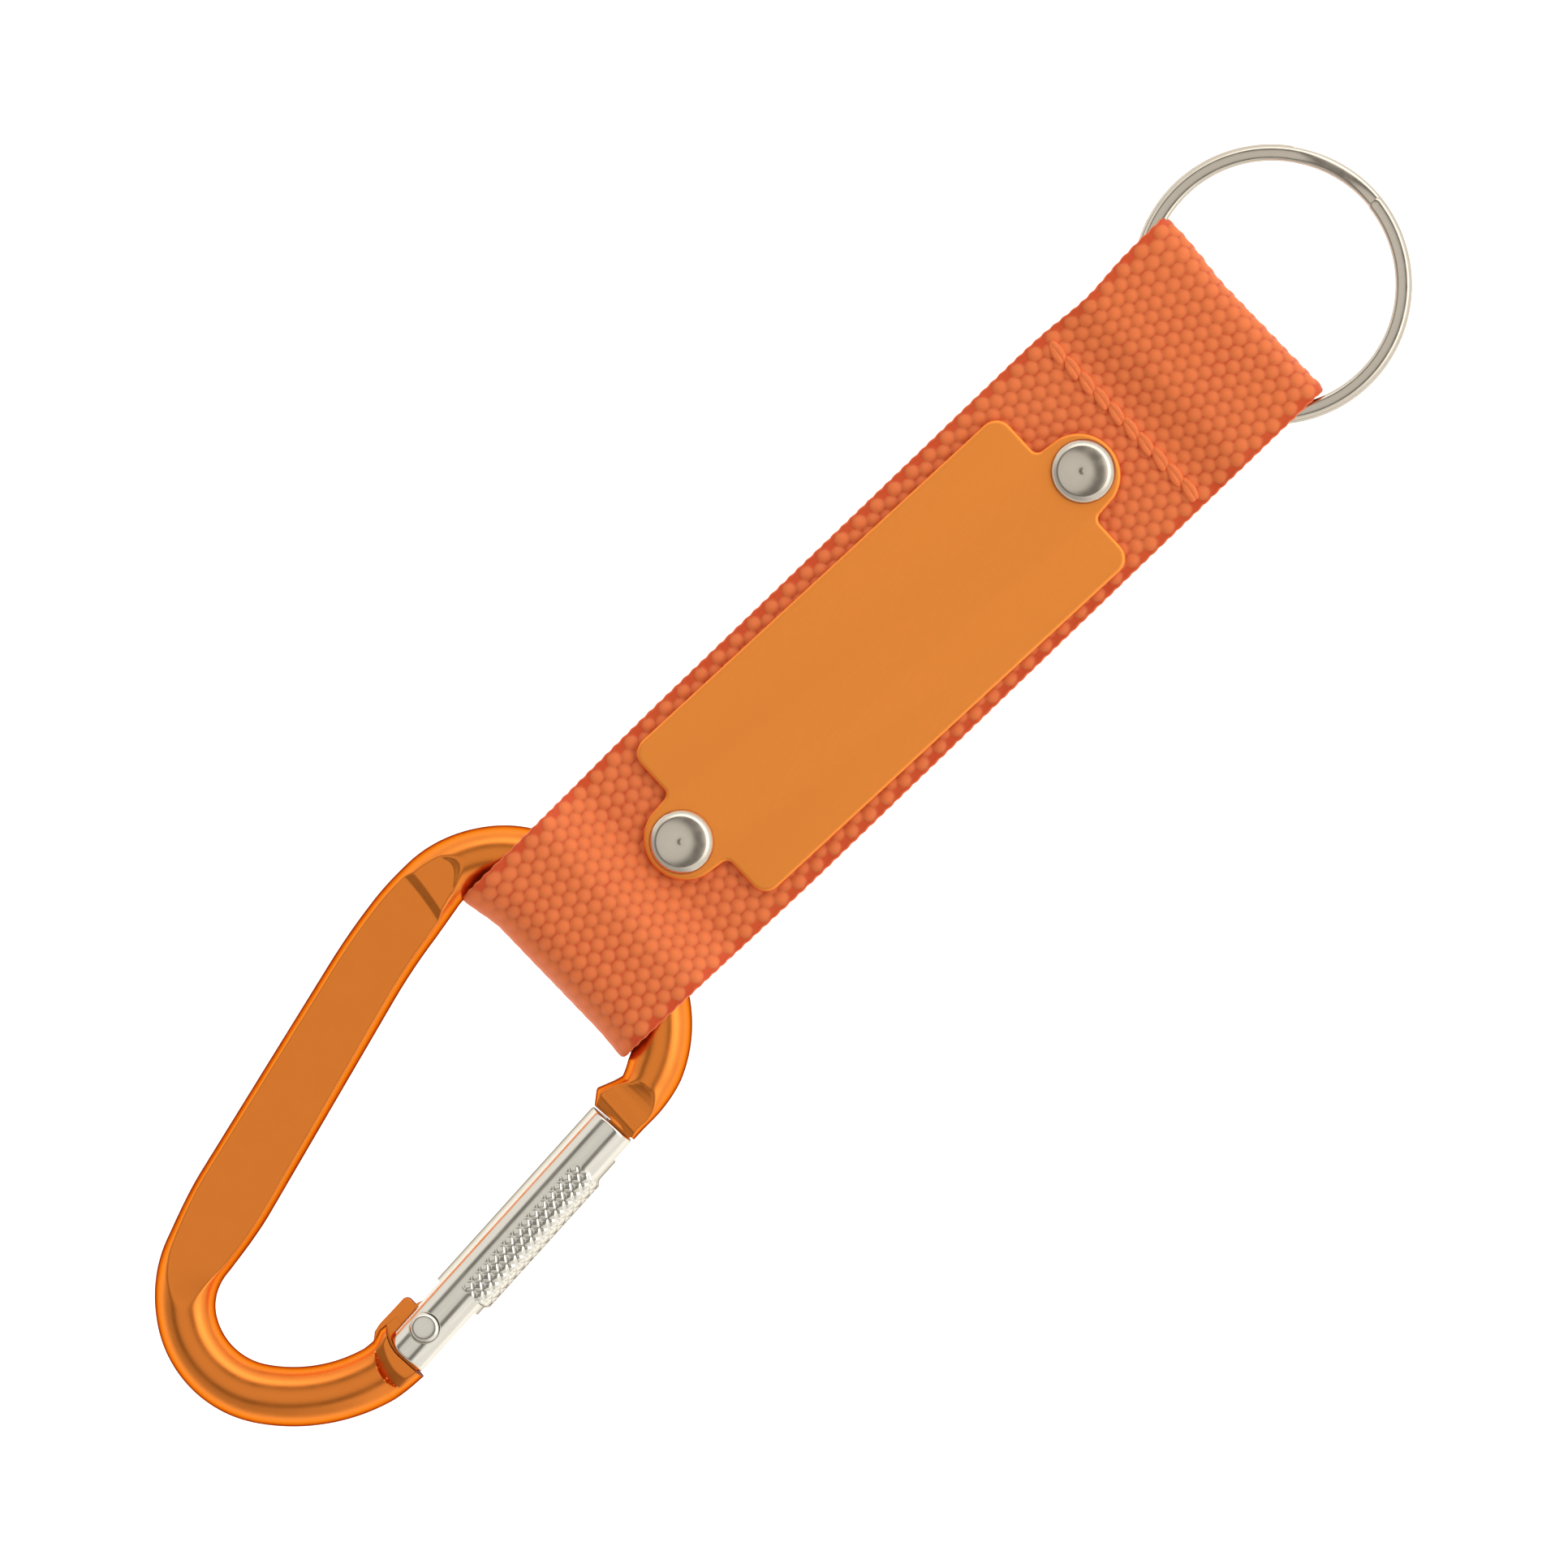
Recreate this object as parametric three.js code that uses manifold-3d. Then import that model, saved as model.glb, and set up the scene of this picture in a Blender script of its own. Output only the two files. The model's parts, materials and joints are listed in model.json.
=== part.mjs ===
// Carabiner keyring: a small aluminium carabiner and a split ring, joined by a short double strap
// of webbing that carries a riveted label plate. Millimetres, +Z up.
//
// The parts are drawn in one drawing frame: x along the strap from the carabiner to the ring, y
// across it, z = 0 in the middle of its thickness. The strap bends at a neck beside each loop, so
// the carabiner end, the middle and the ring end are three groups, each tilted as it lies on a table.

import * as THREE from 'three';
import { mergeVertices } from 'three/addons/utils/BufferGeometryUtils.js';
import Module from 'manifold-3d';

// ---- driving dimensions -------------------------------------------------------------------

const webbingWidth = 25;
const webbingThickness = 1.2;
const strapLength = 104; // outside of one fold to outside of the other
const layerGap = 0.3; // between the front and the rear layer
const workingGap = 0.3; // between pieces that touch or turn

const neckX = 36.3; // where the strap bends beside each loop, either side of its middle
const neckGap = 0.4;
const neckBevel = 0.78; // how far a layer's outer face is cut back so that the neck can bend
const rearSeamGap = 0.6; // between the two ends of the strip, at the middle of the back

const rodDiameter = 6.4; // round stock at the closed end
const topBarDiameter = 6.1; // round stock at the strap end
const spineWidth = 8.7;
const spineWidthAtTop = 7.8;
const spineThickness = 4.6;
const topBarX = -42.3; // the top bar's middle line where the strap crosses it
const closedEndReach = 59.5; // from the loop's fold to where the closed end touches the table

const gateDiameter = 5.8;
const gateLength = 33.45;
const gateAngle = 4.05; // degrees between the closed gate and the strap
const pivotPosition = [-87.35, -18.5];
const pivotToGateEnd = 3.85;
const pivotInset = 0.4; // the pin lies this far from the gate's axis, towards the spine

const ringOuterRadius = 15.1;
const ringWireWidth = 1.9;
const ringWireHeight = 1.05;
const ringCoilGap = 0.1;
const ringCentre = [55.7, -0.5];
const ringReach = 20.6; // from the loop's fold to where the ring touches the table
const pocketX = 40; // where the ring's loop is open to its full height

const plateLength = 53.6;
const plateWidth = 21;
const plateThickness = 0.6;
const plateCentre = [-2.35, -0.3];
const plateTurn = -1.2; // degrees; the plate sits slightly askew on the strap
const rivetSpacing = 58.5;
const rivetHeadRadius = 3.5;
const rivetShankRadius = 1.5;

const stitchRowX = 33.8;
const stitchCount = 10;
const threadDiameter = 0.5;

// ---- worked out from them -----------------------------------------------------------------

const layerInner = layerGap / 2;
const layerOuter = layerInner + webbingThickness;
const barCavity = topBarDiameter / 2 + workingGap; // half the height inside the carabiner's loop
const barFoldX = -strapLength / 2 + barCavity + webbingThickness;
const ringStack = 2 * ringWireHeight + ringCoilGap;
const ringCavity = ringStack / 2 + workingGap;
const ringFoldX = strapLength / 2 - ringCavity - webbingThickness;
const gateRadius = gateDiameter / 2;
const radians = THREE.MathUtils.degToRad;

// ---- finishes -----------------------------------------------------------------------------

const finishes = {
  anodised: { color: 0xd9782e, roughness: 0.28, metalness: 1 },
  plate: { color: 0xe2873b, roughness: 0.45, metalness: 1 },
  aluminium: { color: 0xdcdcd8, roughness: 0.18, metalness: 1 },
  nickel: { color: 0xcfc6b8, roughness: 0.2, metalness: 1 },
  steel: { color: 0xa9a9a6, roughness: 0.3, metalness: 1 },
  webbing: { color: 0xde693f, roughness: 0.85, metalness: 0 },
  thread: { color: 0xf06f37, roughness: 0.6, metalness: 0 },
};

function piece(name, geometry, finish) {
  const mesh = new THREE.Mesh(geometry, new THREE.MeshStandardMaterial(finishes[finish]));
  mesh.name = name;
  return mesh;
}

// ---- solids -------------------------------------------------------------------------------

const wasm = await Module();
wasm.setup();

function toSolid(geometry) {
  const bare = geometry.clone();
  bare.deleteAttribute('normal');
  bare.deleteAttribute('uv');
  const merged = mergeVertices(bare, 1e-4);
  return new wasm.Manifold(new wasm.Mesh({
    numProp: 3,
    vertProperties: new Float32Array(merged.attributes.position.array),
    triVerts: new Uint32Array(merged.index.array),
  }));
}

function toGeometry(solid) {
  const mesh = solid.getMesh();
  const geometry = new THREE.BufferGeometry();
  geometry.setAttribute('position', new THREE.BufferAttribute(mesh.vertProperties, 3));
  geometry.setIndex(new THREE.BufferAttribute(mesh.triVerts, 1));
  geometry.computeVertexNormals();
  return geometry;
}

function cut(geometry, ...tools) {
  return toGeometry(tools.reduce((solid, tool) => solid.subtract(toSolid(tool)), toSolid(geometry)));
}

function join(...geometries) {
  return toGeometry(geometries.map(toSolid).reduce((solid, next) => solid.add(next)));
}

// A cylinder along z.
function bar(radius, zLow, zHigh, x = 0, y = 0, sides = 24) {
  const geometry = new THREE.CylinderGeometry(radius, radius, zHigh - zLow, sides);
  geometry.rotateX(Math.PI / 2);
  geometry.translate(x, y, (zLow + zHigh) / 2);
  return geometry;
}

// A block between two corners.
function block(low, high) {
  const size = high.map((value, i) => value - low[i]);
  const geometry = new THREE.BoxGeometry(...size);
  geometry.translate(...low.map((value, i) => value + size[i] / 2));
  return geometry;
}

// A turned piece whose axis is z, from a closed profile of [radius, z] points.
function turned(profile, sides = 20) {
  const points = profile.map(([radius, z]) => new THREE.Vector2(radius, z));
  const geometry = new THREE.LatheGeometry(points, sides);
  geometry.rotateX(Math.PI / 2);
  return geometry;
}

// A plan outline with thickness from zLow to zHigh and a bevelled edge.
function slab(outline, zLow, zHigh, bevel = 0, curveSegments = 6) {
  const geometry = new THREE.ExtrudeGeometry(outline, {
    depth: zHigh - zLow - 2 * bevel,
    bevelEnabled: bevel > 0,
    bevelSize: bevel,
    bevelThickness: bevel,
    bevelOffset: -bevel,
    bevelSegments: 1,
    curveSegments,
  });
  geometry.translate(0, 0, zLow + bevel);
  return geometry;
}

function polygon(points) {
  return new THREE.Shape(points.map(([x, y]) => new THREE.Vector2(x, y)));
}

// ---- strap --------------------------------------------------------------------------------

// A side view of webbing, drawn in x and z, given the webbing's width along y.
function webbing(sideView) {
  const geometry = new THREE.ExtrudeGeometry(sideView, {
    depth: webbingWidth,
    bevelEnabled: false,
    curveSegments: 12,
  });
  geometry.rotateX(Math.PI / 2);
  geometry.translate(0, webbingWidth / 2, 0);
  return geometry;
}

// One layer between xLow and xHigh; an end at a neck is bevelled on its outer face.
function layerView(xLow, xHigh, side, bevelLow, bevelHigh) {
  return polygon([
    [xLow, side * layerInner],
    [xHigh, side * layerInner],
    [xHigh - bevelHigh, side * layerOuter],
    [xLow + bevelLow, side * layerOuter],
  ]);
}

// The loop round the carabiner's bar: two layers that part at the neck, run over the bar and join
// in a round fold.
function barLoopView() {
  const neck = -neckX - neckGap / 2;
  const rise = Math.acos(barCavity / (neck - topBarX));
  const outer = barCavity + webbingThickness;
  const shape = new THREE.Shape();
  shape.moveTo(neck, layerInner);
  shape.absarc(topBarX, 0, barCavity, rise, Math.PI / 2, false);
  shape.absarc(barFoldX, 0, barCavity, Math.PI / 2, 1.5 * Math.PI, false);
  shape.absarc(topBarX, 0, barCavity, 1.5 * Math.PI, 2 * Math.PI - rise, false);
  shape.lineTo(neck, -layerInner);
  shape.lineTo(neck - neckBevel, -layerOuter);
  shape.absarc(topBarX, 0, outer, 2 * Math.PI - rise, 1.5 * Math.PI, true);
  shape.absarc(barFoldX, 0, outer, 1.5 * Math.PI, Math.PI / 2, true);
  shape.absarc(topBarX, 0, outer, Math.PI / 2, rise, true);
  shape.lineTo(neck - neckBevel, layerOuter);
  return shape;
}

// The loop round the split ring: a flat pocket.
function ringLoopView() {
  const neck = neckX + neckGap / 2;
  const outer = ringCavity + webbingThickness;
  const shape = new THREE.Shape();
  shape.moveTo(neck, -layerInner);
  shape.lineTo(pocketX, -ringCavity);
  shape.absarc(ringFoldX, 0, ringCavity, -Math.PI / 2, Math.PI / 2, false);
  shape.lineTo(pocketX, ringCavity);
  shape.lineTo(neck, layerInner);
  shape.lineTo(neck + neckBevel, layerOuter);
  shape.lineTo(pocketX - 0.2, outer);
  shape.absarc(ringFoldX, 0, outer, Math.PI / 2, -Math.PI / 2, true);
  shape.lineTo(pocketX - 0.2, -outer);
  shape.lineTo(neck + neckBevel, -layerOuter);
  return shape;
}

// ---- label plate and rivets ---------------------------------------------------------------

// A rectangle with rounded corners and, at each end, a tab rounded about the rivet.
function plateOutline(holeRadius) {
  const corner = 1.9;
  const fillet = 0.8;
  const tabHalfWidth = 4.6;
  const tabRadius = 4.5;
  const halfLength = plateLength / 2;
  const halfWidth = plateWidth / 2;
  const rivetX = rivetSpacing / 2;
  const reach = 0.6; // the tab's round end is centred this far inside the rivet
  const outline = new THREE.Shape();
  outline.moveTo(-halfLength + corner, -halfWidth);
  outline.absarc(halfLength - corner, -halfWidth + corner, corner, -Math.PI / 2, 0, false);
  outline.absarc(halfLength + fillet, -tabHalfWidth - fillet, fillet, Math.PI, Math.PI / 2, true);
  outline.absarc(rivetX - reach, 0, tabRadius, -0.42 * Math.PI, 0.42 * Math.PI, false);
  outline.absarc(halfLength + fillet, tabHalfWidth + fillet, fillet, -Math.PI / 2, -Math.PI, true);
  outline.absarc(halfLength - corner, halfWidth - corner, corner, 0, Math.PI / 2, false);
  outline.absarc(-halfLength + corner, halfWidth - corner, corner, Math.PI / 2, Math.PI, false);
  outline.absarc(-halfLength - fillet, tabHalfWidth + fillet, fillet, 0, -Math.PI / 2, true);
  outline.absarc(-rivetX + reach, 0, tabRadius, 0.58 * Math.PI, 1.42 * Math.PI, false);
  outline.absarc(-halfLength - fillet, -tabHalfWidth - fillet, fillet, Math.PI / 2, 0, true);
  outline.absarc(-halfLength + corner, -halfWidth + corner, corner, Math.PI, 1.5 * Math.PI, false);
  for (const x of [-rivetX, rivetX]) {
    const hole = new THREE.Path();
    hole.absarc(x, 0, holeRadius, 0, 2 * Math.PI, true);
    outline.holes.push(hole);
  }
  return outline;
}

const plateLow = layerOuter + 0.25;
const plateHigh = plateLow + plateThickness;
const capLow = plateHigh + 0.25;
const flangeHigh = -layerOuter - 0.25;

// Front cap: a low dome with a rounded shoulder, and a blind socket underneath that takes the
// post.
function rivetCap() {
  const crown = capLow + 1.1;
  return turned([
    [0, crown - 0.72], [1.8, crown - 0.72], [1.8, capLow], [3.3, capLow], [rivetHeadRadius, crown - 0.8],
    [3.4, crown - 0.62], [3.1, crown - 0.48], [2.6, crown - 0.4], [1.8, crown - 0.19], [0.9, crown - 0.05],
    [0, crown],
  ]);
}

// Rear flange and the shank that passes through the strap and the plate into the cap.
function rivetPost() {
  return turned([
    [0, flangeHigh - 0.6], [2.6, flangeHigh - 0.6], [3.3, flangeHigh - 0.4],
    [rivetHeadRadius, flangeHigh - 0.15], [rivetHeadRadius, flangeHigh],
    [rivetShankRadius, flangeHigh], [rivetShankRadius, capLow + 0.1], [0, capLow + 0.1],
  ]);
}

// A point of the plate's own frame, in the drawing frame.
function onPlate(x, y) {
  const turn = radians(plateTurn);
  return [
    plateCentre[0] + x * Math.cos(turn) - y * Math.sin(turn),
    plateCentre[1] + x * Math.sin(turn) + y * Math.cos(turn),
  ];
}

// ---- stitch row ---------------------------------------------------------------------------

class StitchPath extends THREE.Curve {
  constructor(side) {
    super();
    this.side = side;
  }

  // Each stitch rises out of the webbing, lies on it and dips in again, slanting a little.
  getPoint(t, target = new THREE.Vector3()) {
    const run = webbingWidth - 2.6;
    const phase = t * stitchCount * 2 * Math.PI;
    const height = layerOuter + threadDiameter / 2 + 0.06 + 0.12 * (1 - Math.cos(phase));
    return target.set(stitchRowX + 0.28 * Math.sin(phase), (t - 0.5) * run, this.side * height);
  }
}

function stitchRow(side) {
  const section = new THREE.Shape();
  section.absellipse(0, 0, threadDiameter / 2, threadDiameter / 2, 0, 2 * Math.PI);
  return new THREE.ExtrudeGeometry(section, {
    steps: 6 * stitchCount,
    curveSegments: 3,
    extrudePath: new StitchPath(side),
  });
}

// ---- split ring ---------------------------------------------------------------------------

// Two coils of flat wire. Each lies in its own plane, and a short joggle steps from one to the other.
class RingPath extends THREE.Curve {
  getPoint(t, target = new THREE.Vector3()) {
    const joggle = 16;
    const halfJoggle = 10;
    const start = joggle + halfJoggle + 2;
    const end = joggle + 720 - halfJoggle - 2;
    const angle = start + (end - start) * t;
    const step = THREE.MathUtils.smoothstep(angle, joggle + 360 - halfJoggle, joggle + 360 + halfJoggle);
    const coilRadius = ringOuterRadius - ringWireWidth / 2;
    return target.set(
      coilRadius * Math.cos(radians(angle)),
      coilRadius * Math.sin(radians(angle)),
      (step - 0.5) * (ringWireHeight + ringCoilGap),
    );
  }
}

// The wire is swept along the ring as a bar whose rows are moved to stations of the path.
function splitRing() {
  const stations = 96;
  const path = new RingPath();
  const sectionAt = (across, up) => [
    (Math.sign(across) * Math.abs(across) ** 0.7 * ringWireWidth) / 2,
    (Math.sign(up) * Math.abs(up) ** 0.7 * ringWireHeight) / 2,
  ];
  return moveRows(stations, 8, (t, across, up) => {
    const centre = path.getPoint(t);
    const outward = new THREE.Vector3(centre.x, centre.y, 0).normalize();
    const [u, z] = sectionAt(across, up);
    return [centre.x - outward.x * u, centre.y - outward.y * u, centre.z + z];
  });
}

// A closed bar with the given number of rows. place(t, across, up) gives the place of the point
// that is at t along the bar, where across and up go round a unit circle; across points to the left
// of the way along.
function moveRows(rows, sides, place) {
  const geometry = new THREE.CylinderGeometry(1, 1, 1, sides, rows);
  const position = geometry.attributes.position;
  for (let i = 0; i < position.count; i += 1) {
    const t = 0.5 - position.getY(i);
    position.setXYZ(i, ...place(Math.round(t * rows) / rows, position.getX(i), position.getZ(i)));
  }
  return geometry;
}

// ---- carabiner body -----------------------------------------------------------------------

// The middle line of the rod, from the tongue round the closed end, up the spine, across the top
// bar to the nose: straight runs and right-hand bends, each [length] or [radius, turn in degrees].
const rodStart = { x: -91.4, y: -18.85, heading: 174.7 };
const rodRuns = [
  [0.2], [18.7, 49.1], [10, 110.5], [33.9], [72, 10.2], [10.4, 86.2], [40, 17.6], [12.7, 76], [0.3],
];

// Distances along it: where the stock spreads into the spine and narrows again, and where the pressed
// flat begins and ends.
const spineSpread = [28, 43];
const spineNarrow = [77, 90];
const flatStart = [26, 36];
const flatEnd = [81, 85];

// Stations along the rod: place, heading in radians and distance from the tongue.
function rodStations() {
  const stations = [];
  let { x, y } = rodStart;
  let heading = radians(rodStart.heading);
  let distance = 0;
  stations.push({ x, y, heading, distance });
  for (const [size, turn] of rodRuns) {
    const bend = turn ? radians(turn) : 0;
    const length = turn ? size * bend : size;
    const count = Math.max(1, Math.round(turn ? turn / 9 : length / 4));
    for (let i = 0; i < count; i += 1) {
      const chord = turn ? 2 * size * Math.sin(bend / count / 2) : length / count;
      const along = heading - bend / count / 2;
      x += chord * Math.cos(along);
      y += chord * Math.sin(along);
      heading -= bend / count;
      distance += length / count;
      stations.push({ x, y, heading, distance });
    }
  }
  return stations;
}

// How wide the stock is at a distance along the rod, and how thick where it is pressed flat.
function stockAt(distance) {
  const { smoothstep, lerp } = THREE.MathUtils;
  const spread = smoothstep(distance, spineSpread[0], spineSpread[1]);
  const narrow = smoothstep(distance, spineNarrow[0], spineNarrow[1]);
  const spineRun = spineNarrow[0] - spineSpread[1];
  const taper = THREE.MathUtils.clamp((distance - spineSpread[1]) / spineRun, 0, 1);
  const width = lerp(rodDiameter, lerp(spineWidth, spineWidthAtTop, taper), spread);
  const flatBegins = smoothstep(distance, flatStart[0], flatStart[1]);
  const pressed = flatBegins * (1 - smoothstep(distance, flatEnd[0], flatEnd[1]));
  return {
    width: lerp(width, topBarDiameter, narrow),
    thickness: lerp(rodDiameter, spineThickness, pressed),
  };
}

function rod(gap = 0) {
  const stations = rodStations();
  return moveRows(stations.length - 1, 18, (t, across, up) => {
    const station = stations[Math.round(t * (stations.length - 1))];
    const stock = stockAt(station.distance);
    const radius = stock.width / 2 + gap;
    const limit = stock.thickness / 2 + gap;
    return [
      station.x - Math.sin(station.heading) * across * radius,
      station.y + Math.cos(station.heading) * across * radius,
      THREE.MathUtils.clamp(up * radius, -limit, limit),
    ];
  });
}

// The pieces below are drawn in the gate's frame: the pin's centre is at x = 0, x runs along the gate
// to the nose and y points to the spine.
const gateEnd = gateLength - pivotToGateEnd;
const slotHalfHeight = 1.45;
const tongueHalfHeight = 1.15;
const boreRadius = 1.65;
const slotEnd = 4.7;
const boreEnd = 16.3;
const headHalfHeight = 2.95;
const pinHoleRadius = 1.3;

// The coined nose: a head a little wider than the gate, with a tongue that enters the gate's slot.
function nose() {
  const head = polygon([
    [gateEnd + 0.35, -2.7], [gateEnd + 0.9, -3], [34.6, -3], [37.4, -2.5], [37.4, 2.1], [34.4, 2.7],
    [33.2, 3.05], [31.9, 3.7], [gateEnd + 1.3, 3.5], [gateEnd + 0.35, 2.95],
  ]);
  const tongue = polygon([[27.2, -2.4], [gateEnd + 1, -2.4], [gateEnd + 1, 0.6], [27.2, 0.6]]);
  return [slab(head, -3, 3, 0.5), slab(tongue, -0.9, 0.9)];
}

// The closed end's head: a cup round the gate's end, with the flat tongue that the gate turns on. The
// tongue's lug stands out on the inner side and its square end works the plunger.
function pivotHead() {
  const cup = new THREE.Shape();
  const clearance = pivotToGateEnd + workingGap;
  cup.moveTo(-6.4, 2.9);
  cup.lineTo(-7, -2.6);
  cup.lineTo(-5.2, -3.1);
  cup.lineTo(-3.75, -3.1);
  cup.lineTo(-clearance, -1.2);
  cup.absarc(0, 0, clearance, Math.PI, 0.78 * Math.PI, true);
  cup.lineTo(-3.4, 3.6);
  cup.lineTo(-4.6, 3.6);
  const lug = polygon([
    [-5, -2], [-2.5, -2.1], [2.6, -2.1], [2.6, 2.2], [1.1, 2.9], [1.1, 3.6], [0.6, 4.2],
    [-3.4, 4.35], [-4.4, 3.9], [-5, 3],
  ]);
  return [slab(cup, -headHalfHeight, headHalfHeight, 0.4), slab(lug, -tongueHalfHeight, tongueHalfHeight)];
}

function inGateFrame(geometry) {
  const placed = geometry.clone();
  placed.rotateZ(radians(gateAngle));
  placed.translate(...pivotPosition, 0);
  return placed;
}

function carabinerBody() {
  const solid = join(rod(), ...nose().map(inGateFrame), ...pivotHead().map(inGateFrame));
  return cut(solid, inGateFrame(bar(pinHoleRadius, -5, 5, 0, pivotInset)));
}

// ---- gate ---------------------------------------------------------------------------------

function alongGate(geometry) {
  geometry.rotateY(Math.PI / 2);
  return geometry;
}

// The raised thumb grip: a ridged sleeve, kept only on the gate's outer side.
function thumbGrip() {
  const gripStart = 5.9;
  const ridgePitch = 1.4;
  const ridges = 13;
  const profile = [[gateRadius - 0.4, gripStart]];
  for (let i = 0; i < ridges; i += 1) {
    const x = gripStart + i * ridgePitch;
    profile.push([gateRadius + 0.1, x + 0.05], [gateRadius + 0.5, x + 0.45]);
    profile.push([gateRadius + 0.5, x + ridgePitch - 0.35]);
  }
  const gripEnd = gripStart + ridges * ridgePitch;
  profile.push([gateRadius + 0.1, gripEnd], [gateRadius - 0.4, gripEnd], profile[0]);
  const sleeve = toSolid(alongGate(turned(profile, 20)));
  const outerSide = toSolid(block([gripStart - 1, -5, -2.85], [gripEnd + 1, -0.3, 2.85]));
  return toGeometry(sleeve.intersect(outerSide));
}

function gateTube() {
  const round = alongGate(bar(gateRadius, -pivotToGateEnd, gateEnd));
  const outline = new THREE.Shape();
  outline.moveTo(-3.2, -3.2);
  outline.lineTo(gateEnd - 0.3, -3.2);
  outline.lineTo(gateEnd, -2.7);
  outline.lineTo(gateEnd, 2.7);
  outline.lineTo(gateEnd - 0.3, 3.2);
  outline.lineTo(-1.9, 3.2);
  outline.absarc(0, 0, pivotToGateEnd, 0.67 * Math.PI, Math.PI, false);
  outline.lineTo(-pivotToGateEnd, -1.2);
  const rivetRecess = 1.85;
  const recessDepth = 1.95; // from the gate's axis
  const ends = toSolid(slab(outline, -4, 4));
  const shell = toGeometry(toSolid(round).intersect(ends));
  return cut(
    join(shell, thumbGrip()),
    block([-5, -4, -slotHalfHeight], [slotEnd, 5, slotHalfHeight]),
    block([26.8, -4, -1.2], [gateEnd + 1, 0.95, 1.2]),
    alongGate(bar(boreRadius, slotEnd - 1, boreEnd, 0, 0, 16)),
    bar(pinHoleRadius, -4, 4, 0, pivotInset),
    bar(rivetRecess, recessDepth, 4, 0, pivotInset),
    bar(rivetRecess, -4, -recessDepth, 0, pivotInset),
  );
}

function pivotPin() {
  return turned([
    [0, -2.95], [1.2, -2.85], [1.55, -2.6], [1.55, -2.2], [1, -2.2],
    [1, 2.2], [1.55, 2.2], [1.55, 2.6], [1.2, 2.85], [0, 2.95],
  ], 20);
}

// The plunger: a head that bears on the tongue and a tail inside the spring.
function plunger() {
  const face = 2.9;
  const shoulder = 5.7;
  return alongGate(turned([
    [0, face], [1, face], [1.35, face + 0.3], [1.35, shoulder], [0.6, shoulder], [0.6, 9], [0, 9],
  ], 16));
}

class SpringPath extends THREE.Curve {
  getPoint(t, target = new THREE.Vector3()) {
    const coilRadius = 1.15;
    const low = 6.3;
    const high = 16;
    const angle = t * 9 * 2 * Math.PI;
    return target.set(low + (high - low) * t, coilRadius * Math.cos(angle), coilRadius * Math.sin(angle));
  }
}

function gateSpring() {
  const section = new THREE.Shape();
  section.absellipse(0, 0, 0.19, 0.19, 0, 2 * Math.PI);
  return new THREE.ExtrudeGeometry(section, {
    steps: 81,
    curveSegments: 2,
    extrudePath: new SpringPath(),
  });
}

// ---- assembly -----------------------------------------------------------------------------

// A group that is tilted about the y axis through x in the drawing frame and set at a place. What is
// added to its inner group is drawn in the drawing frame.
function tilted(x, place, tilt) {
  const outer = new THREE.Group();
  outer.position.copy(place);
  outer.rotation.y = tilt;
  const inner = new THREE.Group();
  inner.position.x = -x;
  outer.add(inner);
  return { outer, inner };
}

// How the ends tip down to the table from the necks: from the loops' underside and the far ends.
const barLoopDrop = barCavity + webbingThickness;
const carabinerTilt = Math.atan((barLoopDrop - rodDiameter / 2) / closedEndReach);
const barLoopRun = -neckX - barFoldX;
const carabinerNeckZ = barLoopDrop * Math.cos(carabinerTilt) + barLoopRun * Math.sin(carabinerTilt);
const ringLoopDrop = ringCavity + webbingThickness;
const ringTilt = Math.atan((ringLoopDrop - ringStack / 2) / ringReach);
const ringNeckZ = ringLoopDrop * Math.cos(ringTilt) + (ringFoldX - neckX) * Math.sin(ringTilt);
const strapTilt = Math.asin((carabinerNeckZ - ringNeckZ) / (2 * neckX));
const carabinerNeck = new THREE.Vector3(-neckX, 0, carabinerNeckZ);
const ringNeck = new THREE.Vector3(-neckX + 2 * neckX * Math.cos(strapTilt), 0, ringNeckZ);

const carabinerEnd = tilted(-neckX, carabinerNeck, -carabinerTilt);
carabinerEnd.inner.add(piece('strap_loop_carabiner', cut(webbing(barLoopView()), rod(0.2)), 'webbing'));
carabinerEnd.inner.add(piece('carabiner_body', carabinerBody(), 'anodised'));

const gateAssembly = new THREE.Group();
gateAssembly.position.set(...pivotPosition, 0);
gateAssembly.rotation.z = radians(gateAngle);
gateAssembly.add(piece('gate', gateTube(), 'aluminium'));
gateAssembly.add(piece('gate_spring', gateSpring(), 'steel'));
gateAssembly.add(piece('spring_plunger', plunger(), 'steel'));
const pin = piece('gate_pivot_pin', pivotPin(), 'aluminium');
pin.position.y = pivotInset;
gateAssembly.add(pin);
carabinerEnd.inner.add(gateAssembly);

const rivetPlaces = {
  carabiner_end: onPlate(-rivetSpacing / 2, 0),
  ring_end: onPlate(rivetSpacing / 2, 0),
};
const holeRadius = rivetShankRadius + workingGap;
const drills = Object.values(rivetPlaces).map(([x, y]) => bar(holeRadius, -5, 5, x, y));

const middle = tilted(-neckX, carabinerNeck, strapTilt);
const layerEnd = neckX - neckGap / 2;
const frontLayer = webbing(layerView(-layerEnd, layerEnd, 1, neckBevel, neckBevel));
const rearCarabinerEnd = webbing(layerView(-layerEnd, -rearSeamGap / 2, -1, neckBevel, 0));
const rearRingEnd = webbing(layerView(rearSeamGap / 2, layerEnd, -1, 0, neckBevel));
middle.inner.add(piece('strap_front_layer', cut(frontLayer, ...drills), 'webbing'));
middle.inner.add(piece('strap_rear_carabiner_end', cut(rearCarabinerEnd, drills[0]), 'webbing'));
middle.inner.add(piece('strap_rear_ring_end', cut(rearRingEnd, drills[1]), 'webbing'));
middle.inner.add(piece('stitch_row_front', stitchRow(1), 'thread'));
middle.inner.add(piece('stitch_row_rear', stitchRow(-1), 'thread'));

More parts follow.
